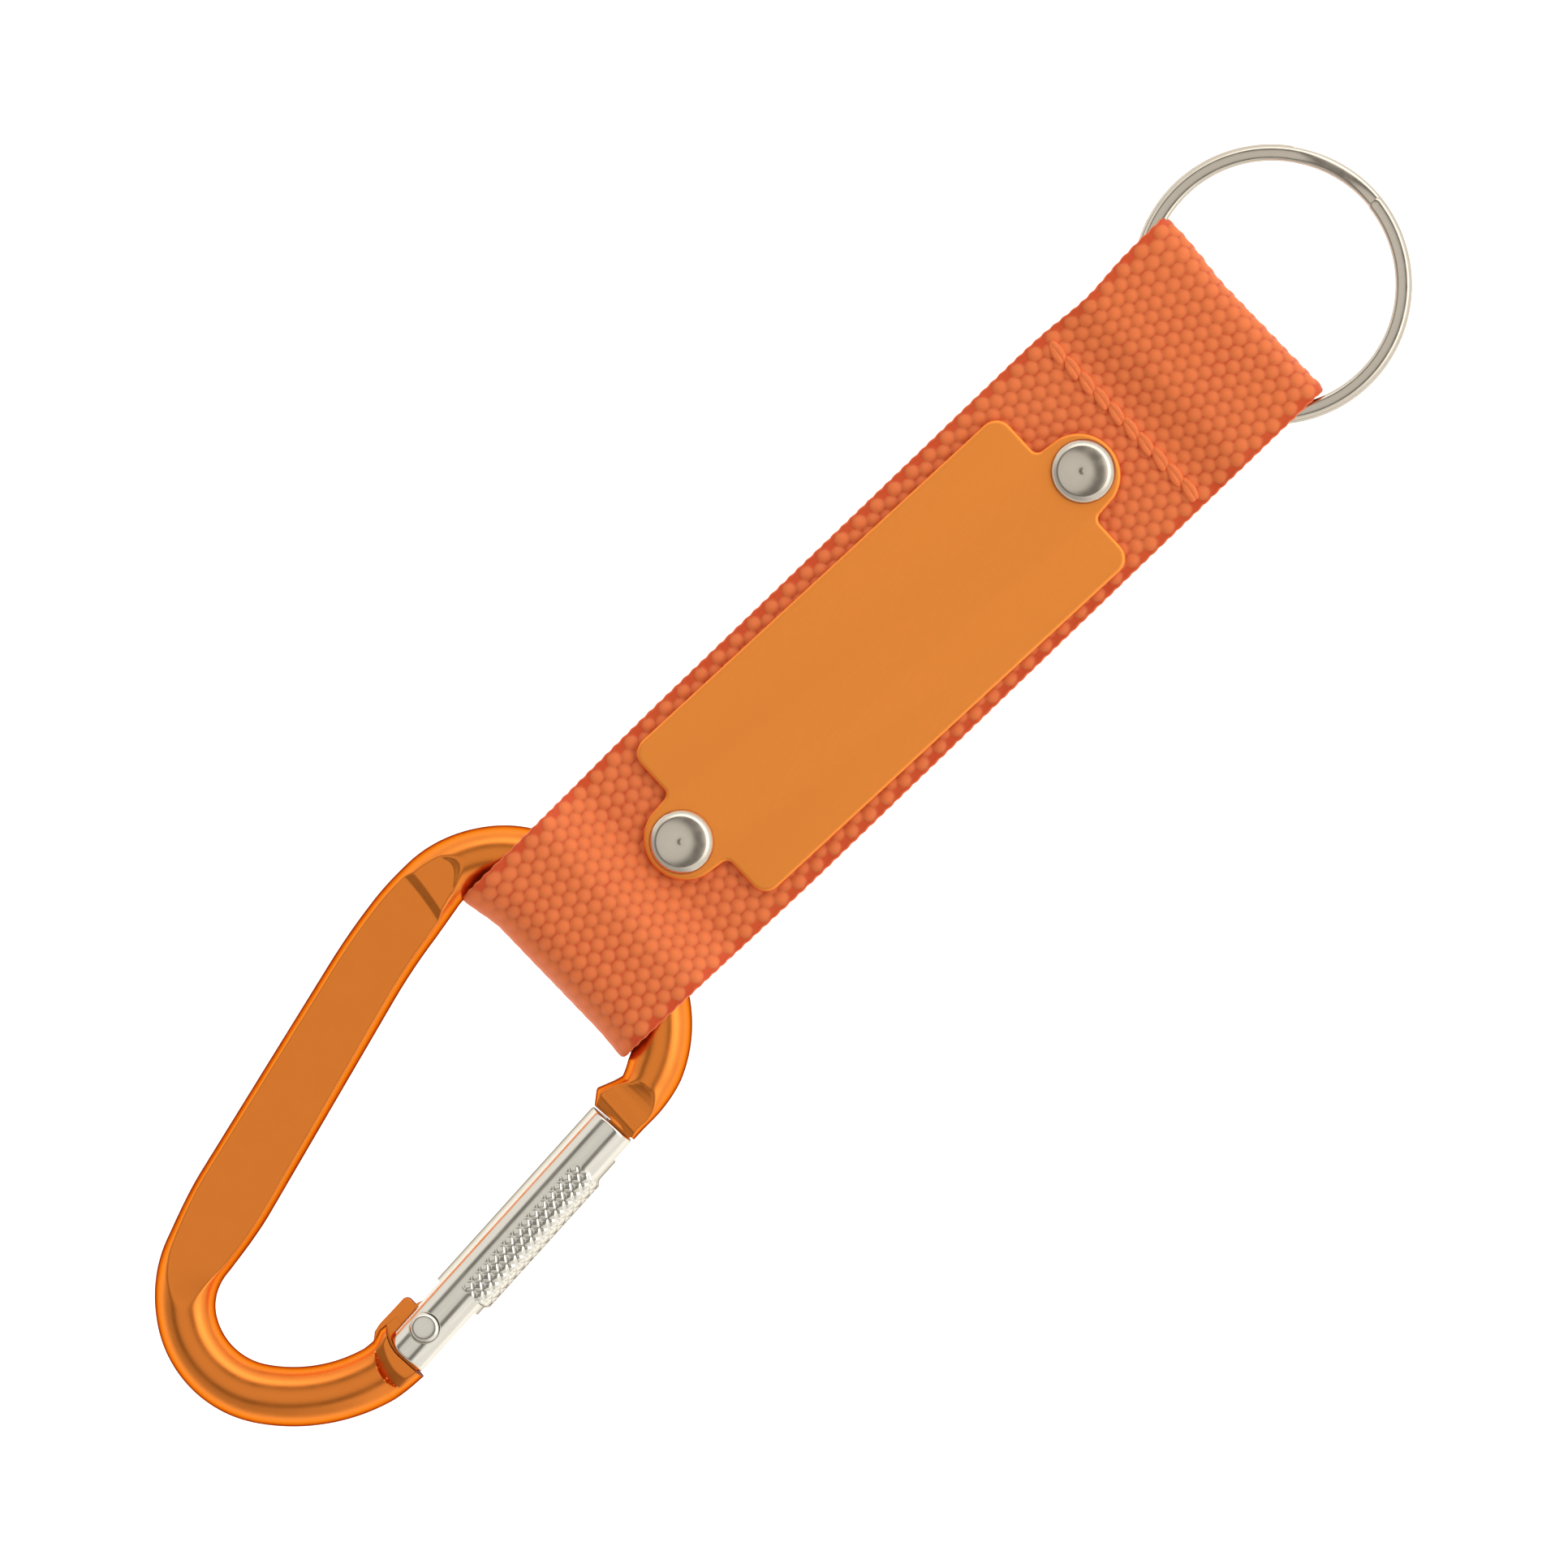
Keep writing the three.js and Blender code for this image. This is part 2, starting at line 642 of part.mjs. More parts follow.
const plate = piece('label_plate', slab(plateOutline(holeRadius), plateLow, plateHigh, 0.12), 'plate');
plate.position.set(...plateCentre, 0);
plate.rotation.z = radians(plateTurn);
middle.inner.add(plate);
for (const [end, [x, y]] of Object.entries(rivetPlaces)) {
  const cap = piece(`rivet_cap_${end}`, rivetCap(), 'nickel');
  const post = piece(`rivet_post_${end}`, rivetPost(), 'nickel');
  cap.position.set(x, y, 0);
  post.position.set(x, y, 0);
  middle.inner.add(cap, post);
}

const ringEnd = tilted(neckX, ringNeck, ringTilt);
const ringSweep = turned([
  [ringOuterRadius - ringWireWidth - 0.25, -ringStack / 2 - 0.25],
  [ringOuterRadius + 0.25, -ringStack / 2 - 0.25],
  [ringOuterRadius + 0.25, ringStack / 2 + 0.25],
  [ringOuterRadius - ringWireWidth - 0.25, ringStack / 2 + 0.25],
  [ringOuterRadius - ringWireWidth - 0.25, -ringStack / 2 - 0.25],
], 64);
ringSweep.translate(...ringCentre, 0);
ringEnd.inner.add(piece('strap_loop_ring', cut(webbing(ringLoopView()), ringSweep), 'webbing'));
const ring = piece('split_ring', splitRing(), 'nickel');
ring.position.set(...ringCentre, 0);
ringEnd.inner.add(ring);

// The row's origin is on the table under the middle of the whole outline.
const assembly = new THREE.Group();
assembly.add(carabinerEnd.outer, middle.outer, ringEnd.outer);
const keyring = new THREE.Group();
keyring.add(assembly);
keyring.updateMatrixWorld(true);
const outlineBox = new THREE.Box3().setFromObject(keyring, true);
assembly.position.set(
  -(outlineBox.min.x + outlineBox.max.x) / 2,
  -(outlineBox.min.y + outlineBox.max.y) / 2,
  -outlineBox.min.z,
);

export default keyring;
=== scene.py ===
"""Carabiner keyring: the visual model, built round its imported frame.

Shapes are drawn in millimetres in one drawing frame: x along the strap from the carabiner to the split
ring, y across it, z out of the label side, with z = 0 in the middle of the strap's thickness. The
carabiner end, the strap and the ring end each have their own placement, because each is tilted as it
lies on the table.
"""

import json
import math

import bmesh
import bpy
import numpy as np
from mathutils import Matrix, Vector


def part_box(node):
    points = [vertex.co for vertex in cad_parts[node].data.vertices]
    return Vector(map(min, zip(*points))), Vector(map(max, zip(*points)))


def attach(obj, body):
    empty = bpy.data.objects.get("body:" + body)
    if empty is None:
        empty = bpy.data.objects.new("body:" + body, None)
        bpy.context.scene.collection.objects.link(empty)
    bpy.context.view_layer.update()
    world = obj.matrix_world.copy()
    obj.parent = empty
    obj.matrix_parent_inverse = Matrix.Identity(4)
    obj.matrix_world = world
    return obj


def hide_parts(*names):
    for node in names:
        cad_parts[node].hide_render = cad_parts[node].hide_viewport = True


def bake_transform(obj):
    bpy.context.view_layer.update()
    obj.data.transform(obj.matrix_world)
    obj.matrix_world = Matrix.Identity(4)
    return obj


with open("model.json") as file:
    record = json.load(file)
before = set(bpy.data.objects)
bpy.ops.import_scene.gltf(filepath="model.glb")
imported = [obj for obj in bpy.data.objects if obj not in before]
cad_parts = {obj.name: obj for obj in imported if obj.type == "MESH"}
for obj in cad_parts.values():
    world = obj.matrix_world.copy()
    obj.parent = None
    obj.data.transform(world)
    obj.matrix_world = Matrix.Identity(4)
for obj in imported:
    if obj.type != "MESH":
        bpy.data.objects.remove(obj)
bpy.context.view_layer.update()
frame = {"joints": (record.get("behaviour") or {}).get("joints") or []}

bl_info = {
    "name": "Carabiner Keyring Maker",
    "version": (1, 0, 0),
    "blender": (4, 5, 0),
    "location": "View3D > Sidebar > Keyring",
    "description": "Makes a webbing keyring with a snap carabiner, a label plate and a split ring",
    "category": "Object",
}

# ---- placements ----

MM = 0.001
JOINTS = {joint["name"]: joint for joint in frame["joints"]}
CARABINER_NECK = Vector(JOINTS["carabiner_flex"]["pos_m"])
RING_NECK = Vector(JOINTS["ring_flex"]["pos_m"])
NECK_X = (RING_NECK - CARABINER_NECK).length / 2 / MM


def placement(origin, origin_x, up):
    """The matrix from the drawing frame to the row frame. origin is where x = origin_x lies."""
    z_axis = Vector(up).normalized()
    y_axis = Vector((0, 1, 0))
    turn = Matrix((y_axis.cross(z_axis), y_axis, z_axis)).transposed().to_4x4()
    return Matrix.Translation(origin) @ turn @ Matrix.Scale(MM, 4) @ Matrix.Translation((-origin_x, 0, 0))


STRAP_PLACE = placement(CARABINER_NECK, -NECK_X, (RING_NECK - CARABINER_NECK).cross(Vector((0, 1, 0))))
CARABINER_PLACE = placement(CARABINER_NECK, -NECK_X, JOINTS["gate_swing"]["axis"])
RING_END_PLACE = placement(RING_NECK, NECK_X, JOINTS["ring_turn"]["axis"])

# The gate's own frame: x along its axis from the pin to the nose, y towards the spine.
PIN_INSET = 0.4
PIN_CENTRE = CARABINER_PLACE.inverted() @ Vector(JOINTS["gate_swing"]["pos_m"])
GATE_WAY = CARABINER_PLACE.to_3x3().inverted() @ Vector(JOINTS["plunger_slide"]["axis"])
GATE_TURN = Matrix.Rotation(math.atan2(GATE_WAY.y, GATE_WAY.x), 4, "Z")
GATE_IN_DRAWING = Matrix.Translation(PIN_CENTRE) @ GATE_TURN @ Matrix.Translation((0, -PIN_INSET, 0))
GATE_PLACE = CARABINER_PLACE @ GATE_IN_DRAWING

RING_CENTRE = RING_END_PLACE.inverted() @ Vector(JOINTS["ring_turn"]["pos_m"])
RING_PLACE = RING_END_PLACE @ Matrix.Translation(RING_CENTRE)

PLATE_TURN = math.radians(-1.2)
PLATE_CENTRE = (-2.35, -0.3)
PLATE_PLACE = STRAP_PLACE @ Matrix.Translation((*PLATE_CENTRE, 0)) @ Matrix.Rotation(PLATE_TURN, 4, "Z")

# ---- dimensions ----


def box_size(node, axis):
    """A CAD node's size along one axis of the row frame, in millimetres."""
    low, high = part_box(node)
    return (high[axis] - low[axis]) / MM


WEBBING_WIDTH = box_size("strap_front_layer", 1)
WEBBING_THICKNESS = 1.2
LAYER_MIDDLE = 0.75
ROD_DIAMETER = 6.4
TOP_BAR_DIAMETER = 6.1
TOP_BAR_X = -42.3
BAR_FOLD_X = -47.45
RING_FOLD_X = 49.4
BAR_LOOP_RADIUS = TOP_BAR_DIAMETER / 2 + 0.3 + WEBBING_THICKNESS / 2
RING_LOOP_RADIUS = 2.0
SPINE_WIDTH = 8.7
SPINE_WIDTH_AT_TOP = 7.8
SPINE_HALF_THICKNESS = 2.3
GATE_RADIUS = 2.9
GATE_TAIL = 3.85
GATE_END = 29.6
RIVET_SPACING = 58.5
PLATE_LOW = 1.6
PLATE_HIGH = 2.2
STITCH_ROW_X = 33.8

# ---- colours and node trees ----


def linear(hex_colour):
    """Linear red, green and blue of an sRGB hex colour."""
    values = [int(hex_colour[i : i + 2], 16) / 255 for i in (1, 3, 5)]
    return tuple(v / 12.92 if v <= 0.04045 else ((v + 0.055) / 1.055) ** 2.4 for v in values)


def opaque(colour):
    return (*colour, 1.0)


def add(tree, kind, links=None, inputs=None, stops=(), **settings):
    """Adds a node with its settings, input values, colour stops and links from other outputs."""
    node = tree.nodes.new(kind)
    for key, value in settings.items():
        setattr(node, key, value)
    for key, value in (inputs or {}).items():
        node.inputs[key].default_value = value
    for key, socket in (links or {}).items():
        tree.links.new(socket, node.inputs[key])
    if stops:
        elements = node.color_ramp.elements
        for index in (0, -1):
            elements[index].position, elements[index].color = stops[index][0], opaque(stops[index][1])
        for position, colour in stops[1:-1]:
            elements.new(position).color = opaque(colour)
    return node


def span(from_low, from_high, low, high):
    """Inputs that carry the range from_low to from_high over to low to high."""
    return {"From Min": from_low, "From Max": from_high, "To Min": low, "To Max": high}


def new_material(name, **surface):
    """A material with one Principled surface, its tree and that node."""
    material = bpy.data.materials.new(name)
    material.use_nodes = True
    tree = material.node_tree
    tree.nodes.clear()
    inputs = {key.replace("_", " ").title().replace("Ior", "IOR"): value for key, value in surface.items()}
    shader = add(tree, "ShaderNodeBsdfPrincipled", inputs=inputs)
    add(tree, "ShaderNodeOutputMaterial", links={"Surface": shader.outputs["BSDF"]})
    return material, tree, shader


def scaled(colour, factor):
    return tuple(min(1.0, c * factor) for c in colour)


def grain(tree, size_mm, detail, stretch=(1, 1, 1)):
    """A wandering pattern whose grains are size_mm across, stretched along an axis if asked."""
    place = add(tree, "ShaderNodeTexCoord").outputs["Object"]
    scale = tuple(1 / (size_mm * MM * s) for s in stretch)
    mapped = add(tree, "ShaderNodeMapping", {"Vector": place}, {"Scale": scale}).outputs["Vector"]
    settings = {"Scale": 1.0, "Detail": detail}
    return add(tree, "ShaderNodeTexNoise", {"Vector": mapped}, settings).outputs["Fac"]


def dress(tree, shader, colour, gloss, relief=None):
    """Links a colour, a roughness and, if there is one, a relief to the surface."""
    tree.links.new(colour.outputs["Color"], shader.inputs["Base Color"])
    tree.links.new(gloss.outputs["Result"], shader.inputs["Roughness"])
    if relief:
        tree.links.new(relief.outputs["Normal"], shader.inputs["Normal"])


def metal(name, colour, roughness, wander, grain_mm, stretch=(1, 1, 1), **surface):
    """A metal whose colour and roughness wander a little over grain_mm."""
    material, tree, shader = new_material(name, metallic=1.0, **surface)
    wandering = grain(tree, grain_mm, 3.0, stretch)
    stops = ((0.3, scaled(colour, 1 - wander)), (0.7, colour))
    dress(
        tree,
        shader,
        add(tree, "ShaderNodeValToRGB", {"Fac": wandering}, stops=stops),
        add(tree, "ShaderNodeMapRange", {"Value": wandering}, span(0.3, 0.7, *roughness)),
    )
    return material


def anodised_aluminium(colours):
    """Dyed and sealed aluminium, bright-dipped before it was dyed: the metal's mirror seen through
    clear orange, which deepens to brown where it is seen edge on."""
    edge = opaque(colours.rod_edge)
    return metal("anodised_aluminium_bright", colours.rod, (0.26, 0.31), 0.04, 2.5, specular_tint=edge)


def satin_anodised_aluminium(colours):
    """Sheet that was etched before it was dyed, so that it spreads the light softly and evenly, with
    the faint grain of rolled sheet along its length."""
    return metal("anodised_aluminium_satin", colours.plate, (0.46, 0.5), 0.02, 0.25, (5, 1, 1))


def polished_aluminium(colours):
    """Drawn aluminium tube, tumbled bright: clear bands of reflection with a fine grain along them."""
    edge, along = opaque(colours.metal_edge), (12, 1, 1)
    return metal("aluminium_tumbled", colours.aluminium, (0.12, 0.2), 0.06, 0.3, along, specular_tint=edge)


def nickel_plate(colours):
    """Nickel over pressed steel: a warm, almost clear mirror."""
    edge = opaque(colours.metal_edge)
    return metal("nickel_plating", colours.nickel, (0.14, 0.22), 0.06, 1.2, specular_tint=edge)


def spring_steel(colours):
    """Drawn spring wire and turned steel: darker, with a dull oiled gloss."""
    return metal("spring_steel_oiled", colours.steel, (0.28, 0.38), 0.15, 0.8)


def nylon_webbing(colours):
    """Plain woven nylon: crowns where a yarn comes up, and painted shade that darkens the colour in the gaps
    between them, a soft sheen, and filaments that run along the strap."""
    material, tree, shader = new_material(
        "nylon_webbing_plain_weave", specular_ior_level=0.35, sheen_weight=0.04, sheen_roughness=0.5
    )
    crown = add(tree, "ShaderNodeAttribute", attribute_name="crown").outputs["Fac"]
    patches = grain(tree, 7.0, 3.0)
    height = add(tree, "ShaderNodeMath", {0: patches, 2: crown}, {1: 0.25}, operation="MULTIPLY_ADD")
    # Painted shade: the crown height picks the colour, from the darker gap shade up to the crown colour, so
    # the gaps between crowns look shaded.
    stops = ((0.1, colours.webbing_gap_shade), (0.5, scaled(colours.webbing, 0.86)), (1.0, colours.webbing))
    # A filament is about 0.03 mm; it is drawn 0.12 mm wide so that it shows.
    filaments = grain(tree, 0.12, 2.0, (7, 1, 1))
    dress(
        tree,
        shader,
        add(tree, "ShaderNodeValToRGB", {"Fac": height.outputs[0]}, stops=stops),
        add(tree, "ShaderNodeMapRange", {"Value": patches}, span(0.3, 0.7, 0.52, 0.66)),
        add(tree, "ShaderNodeBump", {"Height": filaments}, {"Strength": 0.4, "Distance": 0.03 * MM}),
    )
    return material


def sewing_thread(colours):
    """Bonded nylon thread: smooth, a little brighter than the webbing, with a fine twist."""
    material, tree, shader = new_material(
        "bonded_nylon_thread", specular_ior_level=0.45, sheen_weight=0.1, sheen_roughness=0.4
    )
    twist = grain(tree, 0.15, 2.0, (1, 4, 1))
    stops = ((0.3, scaled(colours.thread, 0.88)), (0.7, colours.thread))
    dress(
        tree,
        shader,
        add(tree, "ShaderNodeValToRGB", {"Fac": twist}, stops=stops),
        add(tree, "ShaderNodeMapRange", {"Value": twist}, span(0.3, 0.7, 0.4, 0.55)),
        add(tree, "ShaderNodeBump", {"Height": twist}, {"Strength": 0.4, "Distance": 0.02 * MM}),
    )
    return material


def pale_floor():
    """A light table: opal acrylic, lit softly from beneath, so that shadows stay faint."""
    return new_material(
        "opal_acrylic",
        base_color=opaque(linear("#F4F4F2")),
        roughness=0.9,
        specular_ior_level=0.1,
        emission_color=opaque(linear("#FFFFFF")),
        emission_strength=0.56,
    )[0]


# ---- meshes ----


def smoothstep(low, high, value):
    t = np.clip((value - low) / (high - low), 0, 1)
    return t * t * (3 - 2 * t)


def soft_min(a, b, width):
    """The lower of a and b, rounded where they cross."""
    h = np.clip(0.5 + 0.5 * (b - a) / width, 0, 1)
    return b + (a - b) * h - width * h * (1 - h)


def placed(points, place):
    """Points of any array shape (..., 3) in a drawing frame, in the row frame in metres."""
    matrix = np.array(place)
    return np.asarray(points, float) @ matrix[:3, :3].T + matrix[:3, 3]


def face_outwards(mesh):
    work = bmesh.new()
    work.from_mesh(mesh)
    bmesh.ops.recalc_face_normals(work, faces=work.faces)
    work.to_mesh(mesh)
    work.free()


def finish_mesh(name, mesh, material, sharp=35):
    """Turns a mesh into a smooth-shaded object with outward faces and sharp edges past an angle."""
    face_outwards(mesh)
    mesh.polygons.foreach_set("use_smooth", [True] * len(mesh.polygons))
    mesh.set_sharp_from_angle(angle=math.radians(sharp))
    mesh.materials.clear()
    mesh.materials.append(material)
    piece = bpy.data.objects.new(name, mesh)
    bpy.context.scene.collection.objects.link(piece)
    return piece


def raw_mesh(name, points, faces):
    mesh = bpy.data.meshes.new(name)
    mesh.from_pydata(points, [], faces)
    mesh.update()
    return mesh


def sweep_faces(rows, around, first=0):
    """Faces of a tube whose vertices come row by row, with a face over each end."""
    i, j = np.arange(rows - 1)[:, None], np.arange(around)[None, :]
    beside = (j + 1) % around
    corners = [i * around + j, i * around + beside, (i + 1) * around + beside, (i + 1) * around + j]
    faces = (np.stack(corners, axis=-1).reshape(-1, 4) + first).tolist()
    faces.append([first + k for k in range(around)][::-1])
    faces.append([first + (rows - 1) * around + k for k in range(around)])
    return faces


def swept_mesh(name, rows, place=None):
    """A closed tube through rows of points; rows has the shape (rows, around, 3)."""
    rows = np.asarray(rows, float)
    points = rows if place is None else placed(rows, place)
    return raw_mesh(name, points.reshape(-1, 3), sweep_faces(*rows.shape[:2]))


def turned_rows(profile, sides=72):
    """Rows of a piece turned about z from its (radius, height) profile."""
    angles = np.linspace(0, 2 * math.pi, sides, endpoint=False)
    radius, height = np.asarray(profile, float).T
    radius = np.maximum(radius, 0.004)[:, None]
    heights = np.repeat(height[:, None], sides, axis=1)
    return np.stack([radius * np.cos(angles), radius * np.sin(angles), heights], axis=-1)


def eased(points, steps=6):
    """A profile carried smoothly through its points, as a Catmull-Rom curve."""
    points = np.asarray(points, float)
    ends = np.vstack([2 * points[0] - points[1], points, 2 * points[-1] - points[-2]])
    out = []
    for a, b, c, d in zip(ends, ends[1:], ends[2:], ends[3:]):
        for t in np.arange(steps) / steps:
            square, cube = 2 * a - 5 * b + 4 * c - d, 3 * b - a - 3 * c + d
            out.append(0.5 * (2 * b + (c - a) * t + square * t**2 + cube * t**3))
    out.append(points[-1])
    return np.array(out)


def rounded_slab(outline, low, high, edge, inwards=1.0):
    """A plate with a closed plan outline, its edges rounded over edge in height and inwards times
    that in plan: rows of points from the underside to the top."""
    outline = np.asarray(outline, float)
    ahead = np.roll(outline, -1, axis=0) - np.roll(outline, 1, axis=0)
    ahead /= np.linalg.norm(ahead, axis=1)[:, None]
    outward = np.stack([ahead[:, 1], -ahead[:, 0]], axis=1)
    rows = []
    for angle in np.radians([-90, -65, -40, -18, 0, 18, 40, 65, 90]):
        inset = edge * inwards * (1 - math.cos(angle))
        height = (high - edge if angle > 0 else low + edge) + edge * math.sin(angle)
        rows.append(np.column_stack([outline - outward * inset, np.full(len(outline), height)]))
        if angle == 0:
            rows.append(np.column_stack([outline, np.full(len(outline), high - edge)]))
    return np.array(rows)


def arc(x, y, radius, start, end, steps=10):
    """Points of an arc between two angles in degrees."""
    angles = np.radians(np.linspace(start, end, steps + 1))
    return [(x + radius * math.cos(a), y + radius * math.sin(a)) for a in angles]


def carve(mesh, tool, operation):
    """The mesh joined with, or cut by, another closed mesh."""
    piece, cutter = (bpy.data.objects.new(m.name, m) for m in (mesh, tool))
    for thing in (piece, cutter):
        bpy.context.scene.collection.objects.link(thing)
    for part in (mesh, tool):
        face_outwards(part)
    modifier = piece.modifiers.new("carve", "BOOLEAN")
    modifier.operation = operation
    modifier.solver = "EXACT"
    modifier.object = cutter
    carved = bpy.data.meshes.new_from_object(piece.evaluated_get(bpy.context.evaluated_depsgraph_get()))
    for thing in (piece, cutter):
        bpy.data.objects.remove(thing)
    if len(carved.polygons) < 6:
        raise RuntimeError(f"carving {mesh.name} left nothing")
    return carved


def cylinder(radius, low, high, x=0.0, y=0.0, sides=64):
    rows = turned_rows([(radius, low), (radius, high)], sides)
    return swept_mesh("cylinder", rows + np.array([x, y, 0]))


def block(low, high):
    (x0, y0, z0), (x1, y1, z1) = low, high
    rows = [[(x0, y0, z), (x1, y0, z), (x1, y1, z), (x0, y1, z)] for z in (z0, z1)]
    return swept_mesh("block", rows)


# ---- carabiner frame ----

# The rod's middle line from the gate's tail round the closed end, up the spine and over the top bar to
# the nose: straight runs and right-hand bends, each (length, 0) or (radius, turn in degrees).
ROD_START = (-91.4, -18.85, 174.7)
CLOSED_END = [(0.2, 0), (18.7, 49.1), (10, 110.5)]
SPINE = [(33.9, 0), (72, 10.2)]
TOP_BAR = [(10.4, 86.2), (40, 17.6), (12.7, 76), (3.1, 0)]
ROD_RUNS = CLOSED_END + SPINE + TOP_BAR
ROD_BEFORE = 2.2  # how far the stock reaches back past the start
NOSE_DISTANCE = 130.05


def rod_line(distances):
    """Place and heading of the rod's middle line at distances from its start."""
    x, y, heading = ROD_START[0], ROD_START[1], math.radians(ROD_START[2])
    line = np.zeros((len(distances), 3))
    start = 0.0
    for size, turn in ROD_RUNS:
        bend = math.radians(turn)
        length = size * bend if turn else size
        here = distances >= start if start else np.full(len(distances), True)
        along = distances[here] - start
        if turn:
            new = heading - along / size
            line[here, 0] = x + size * (math.sin(heading) - np.sin(new))
            line[here, 1] = y + size * (np.cos(new) - math.cos(heading))
            line[here, 2] = new
            x += size * (math.sin(heading) - math.sin(heading - bend))
            y += size * (math.cos(heading - bend) - math.cos(heading))
            heading -= bend
        else:
            line[here, 0] = x + along * math.cos(heading)
            line[here, 1] = y + along * math.sin(heading)
            line[here, 2] = heading
            x += size * math.cos(heading)
            y += size * math.sin(heading)
        start += length
    return line


def spine_die(distance, across):
    """Height of the press's face over the spine. It fades out at the closed end, and at the top it
    ends in a curved step and a pointed tongue that runs out on the round bar."""
    clear = 3.9
    fade = clear - (clear - SPINE_HALF_THICKNESS) * smoothstep(25.0, 36.5, distance)
    step_at = 80.75 + 0.23 * across - 0.02 * across**2
    beyond = distance - step_at
    step = 0.38 * np.clip(beyond / 1.05, 0, 1) + 0.03 * np.maximum(beyond - 1.05, 0)
    step = step + 0.45 * np.maximum(beyond - 4.7 + 0.3 * across**2, 0)
    return np.where(distance < 60, fade, np.minimum(SPINE_HALF_THICKNESS + step, clear))


def nose_die(distance, across):
    """Height of the coined nose: a scoop off the round bar, a flat facet and a bevelled end."""
    to_end = NOSE_DISTANCE - distance + 0.12 * across
    knots = [-1, 0, 0.85, 1.1, 2.5, 3.2, 3.9, 4.6, 5.2, 5.4, 6.0]
    heights = [1.75, 2.1, 2.5, 2.54, 2.4, 2.46, 2.58, 2.76, 2.95, 3.4, 3.9]
    return np.interp(to_end, knots, heights)


def tail_die(distance, across):
    """Height of the coined tail beside the gate: a scoop with a steep wall at the round rod, then a
    shoulder that is nearly level."""
    beyond = distance + 0.11 * across**2
    return np.interp(beyond, [-3, 1.0, 1.35, 2.65, 2.9, 4.0], [2.6, 2.78, 2.75, 2.29, 3.5, 3.9])


def rod_rows(sides=144):
    """Rows of points round the whole rod."""
    fine, coarse = 0.13, 0.42
    spans = [(-ROD_BEFORE, 6, fine), (6, 24, coarse), (24, 40, 0.3), (40, 79, coarse), (79, 90, fine)]
    spans += [(90, 120, coarse), (120, NOSE_DISTANCE, fine)]
    distances = np.concatenate([np.arange(low, high, step) for low, high, step in spans] + [[NOSE_DISTANCE]])
    line = rod_line(distances)
    angles = np.linspace(0, 2 * math.pi, sides, endpoint=False)
    s = distances[:, None]

    taper = np.clip((s - 43) / (77 - 43), 0, 1)
    spine = SPINE_WIDTH + (SPINE_WIDTH_AT_TOP - SPINE_WIDTH) * taper
    width = ROD_DIAMETER + (spine - ROD_DIAMETER) * smoothstep(28, 43, s)
    width = width + (TOP_BAR_DIAMETER - width) * smoothstep(77, 90, s)
    # The ends flare towards the inside: the tail beside its scoop, the nose to its beak.
    places = [-3, 0, 1.8, 3.2, 123, 125.4, 127, 128.45, 128.7, 130.05]
    to_inner = width / 2 + np.interp(s, places, [0.8, 0.8, 0.15, 0, 0, -0.3, 0.25, 0.95, 0.9, 0])
    to_outer = width / 2 + np.interp(s, [-3, 0, 3, 123, 128.4, 130], [-0.3, -0.25, 0, 0, -0.4, -0.45])

    square = 2 / (2 + 1.6 * smoothstep(124, 128, s) + 0.9 * smoothstep(3, 0, s))
    across = np.sign(np.cos(angles)) * np.abs(np.cos(angles)) ** square
    across = across * np.where(np.cos(angles) > 0, to_outer, to_inner)
    up = np.abs(np.sin(angles)) ** square * width / 2
    for die in (spine_die, nose_die, tail_die):
        up = soft_min(up, die(s, across), 0.16)
    up = np.maximum(up, 0) * np.sign(np.sin(angles))

    x = line[:, :1] - np.sin(line[:, 2:]) * across
    y = line[:, 1:2] + np.cos(line[:, 2:]) * across
    return np.stack([x, y, np.broadcast_to(up, x.shape)], axis=-1)


def in_drawing(mesh):
    """A mesh drawn in the gate's frame, in the drawing frame."""
    mesh.transform(GATE_IN_DRAWING)
    return mesh


def carabiner_frame(material):
    """Rod, nose and tail in one piece."""
    clearance = GATE_TAIL + 0.3
    body = swept_mesh("rod", rod_rows())
    for low, high in ((1.25, 6), (-6, -1.25)):
        body = carve(body, in_drawing(cylinder(clearance, low, high, 0, PIN_INSET, 128)), "DIFFERENCE")
        corner = block((-clearance, -8, low), (6, PIN_INSET - 0.1, high))
        body = carve(body, in_drawing(corner), "DIFFERENCE")
    body = carve(body, in_drawing(block((-clearance, -8, -2), (6, -1.6, 2))), "DIFFERENCE")
    lug = (
        [(-5.2, -1.9), (-2.5, -2.1), (2.4, -2.1), (2.6, -1.9), (2.6, 2.2), (1.1, 2.8)]
        + arc(0.45, 3.5, 0.7, 0, 100, 8)
        + [(-3.1, 4.25), (-4.0, 4.1), (-4.7, 3.6), (-5.2, 2.8)]
    )
    lug_mesh = swept_mesh("lug", rounded_slab(lug, -1.15, 1.15, 0.14))
    lug_mesh = carve(lug_mesh, cylinder(1.3, -3, 3, 0, PIN_INSET), "DIFFERENCE")
    tongue = [(27.2, -2.3), (31, -2.3), (31, 0.55), (27.2, 0.55)]
    tongue_mesh = swept_mesh("tongue", rounded_slab(tongue, -0.9, 0.9, 0.12))
    for extra in (lug_mesh, tongue_mesh):
        body = carve(body, in_drawing(extra), "UNION")
    body.transform(CARABINER_PLACE)
    return finish_mesh("carabiner_frame", body, material, sharp=38)


# ---- gate ----


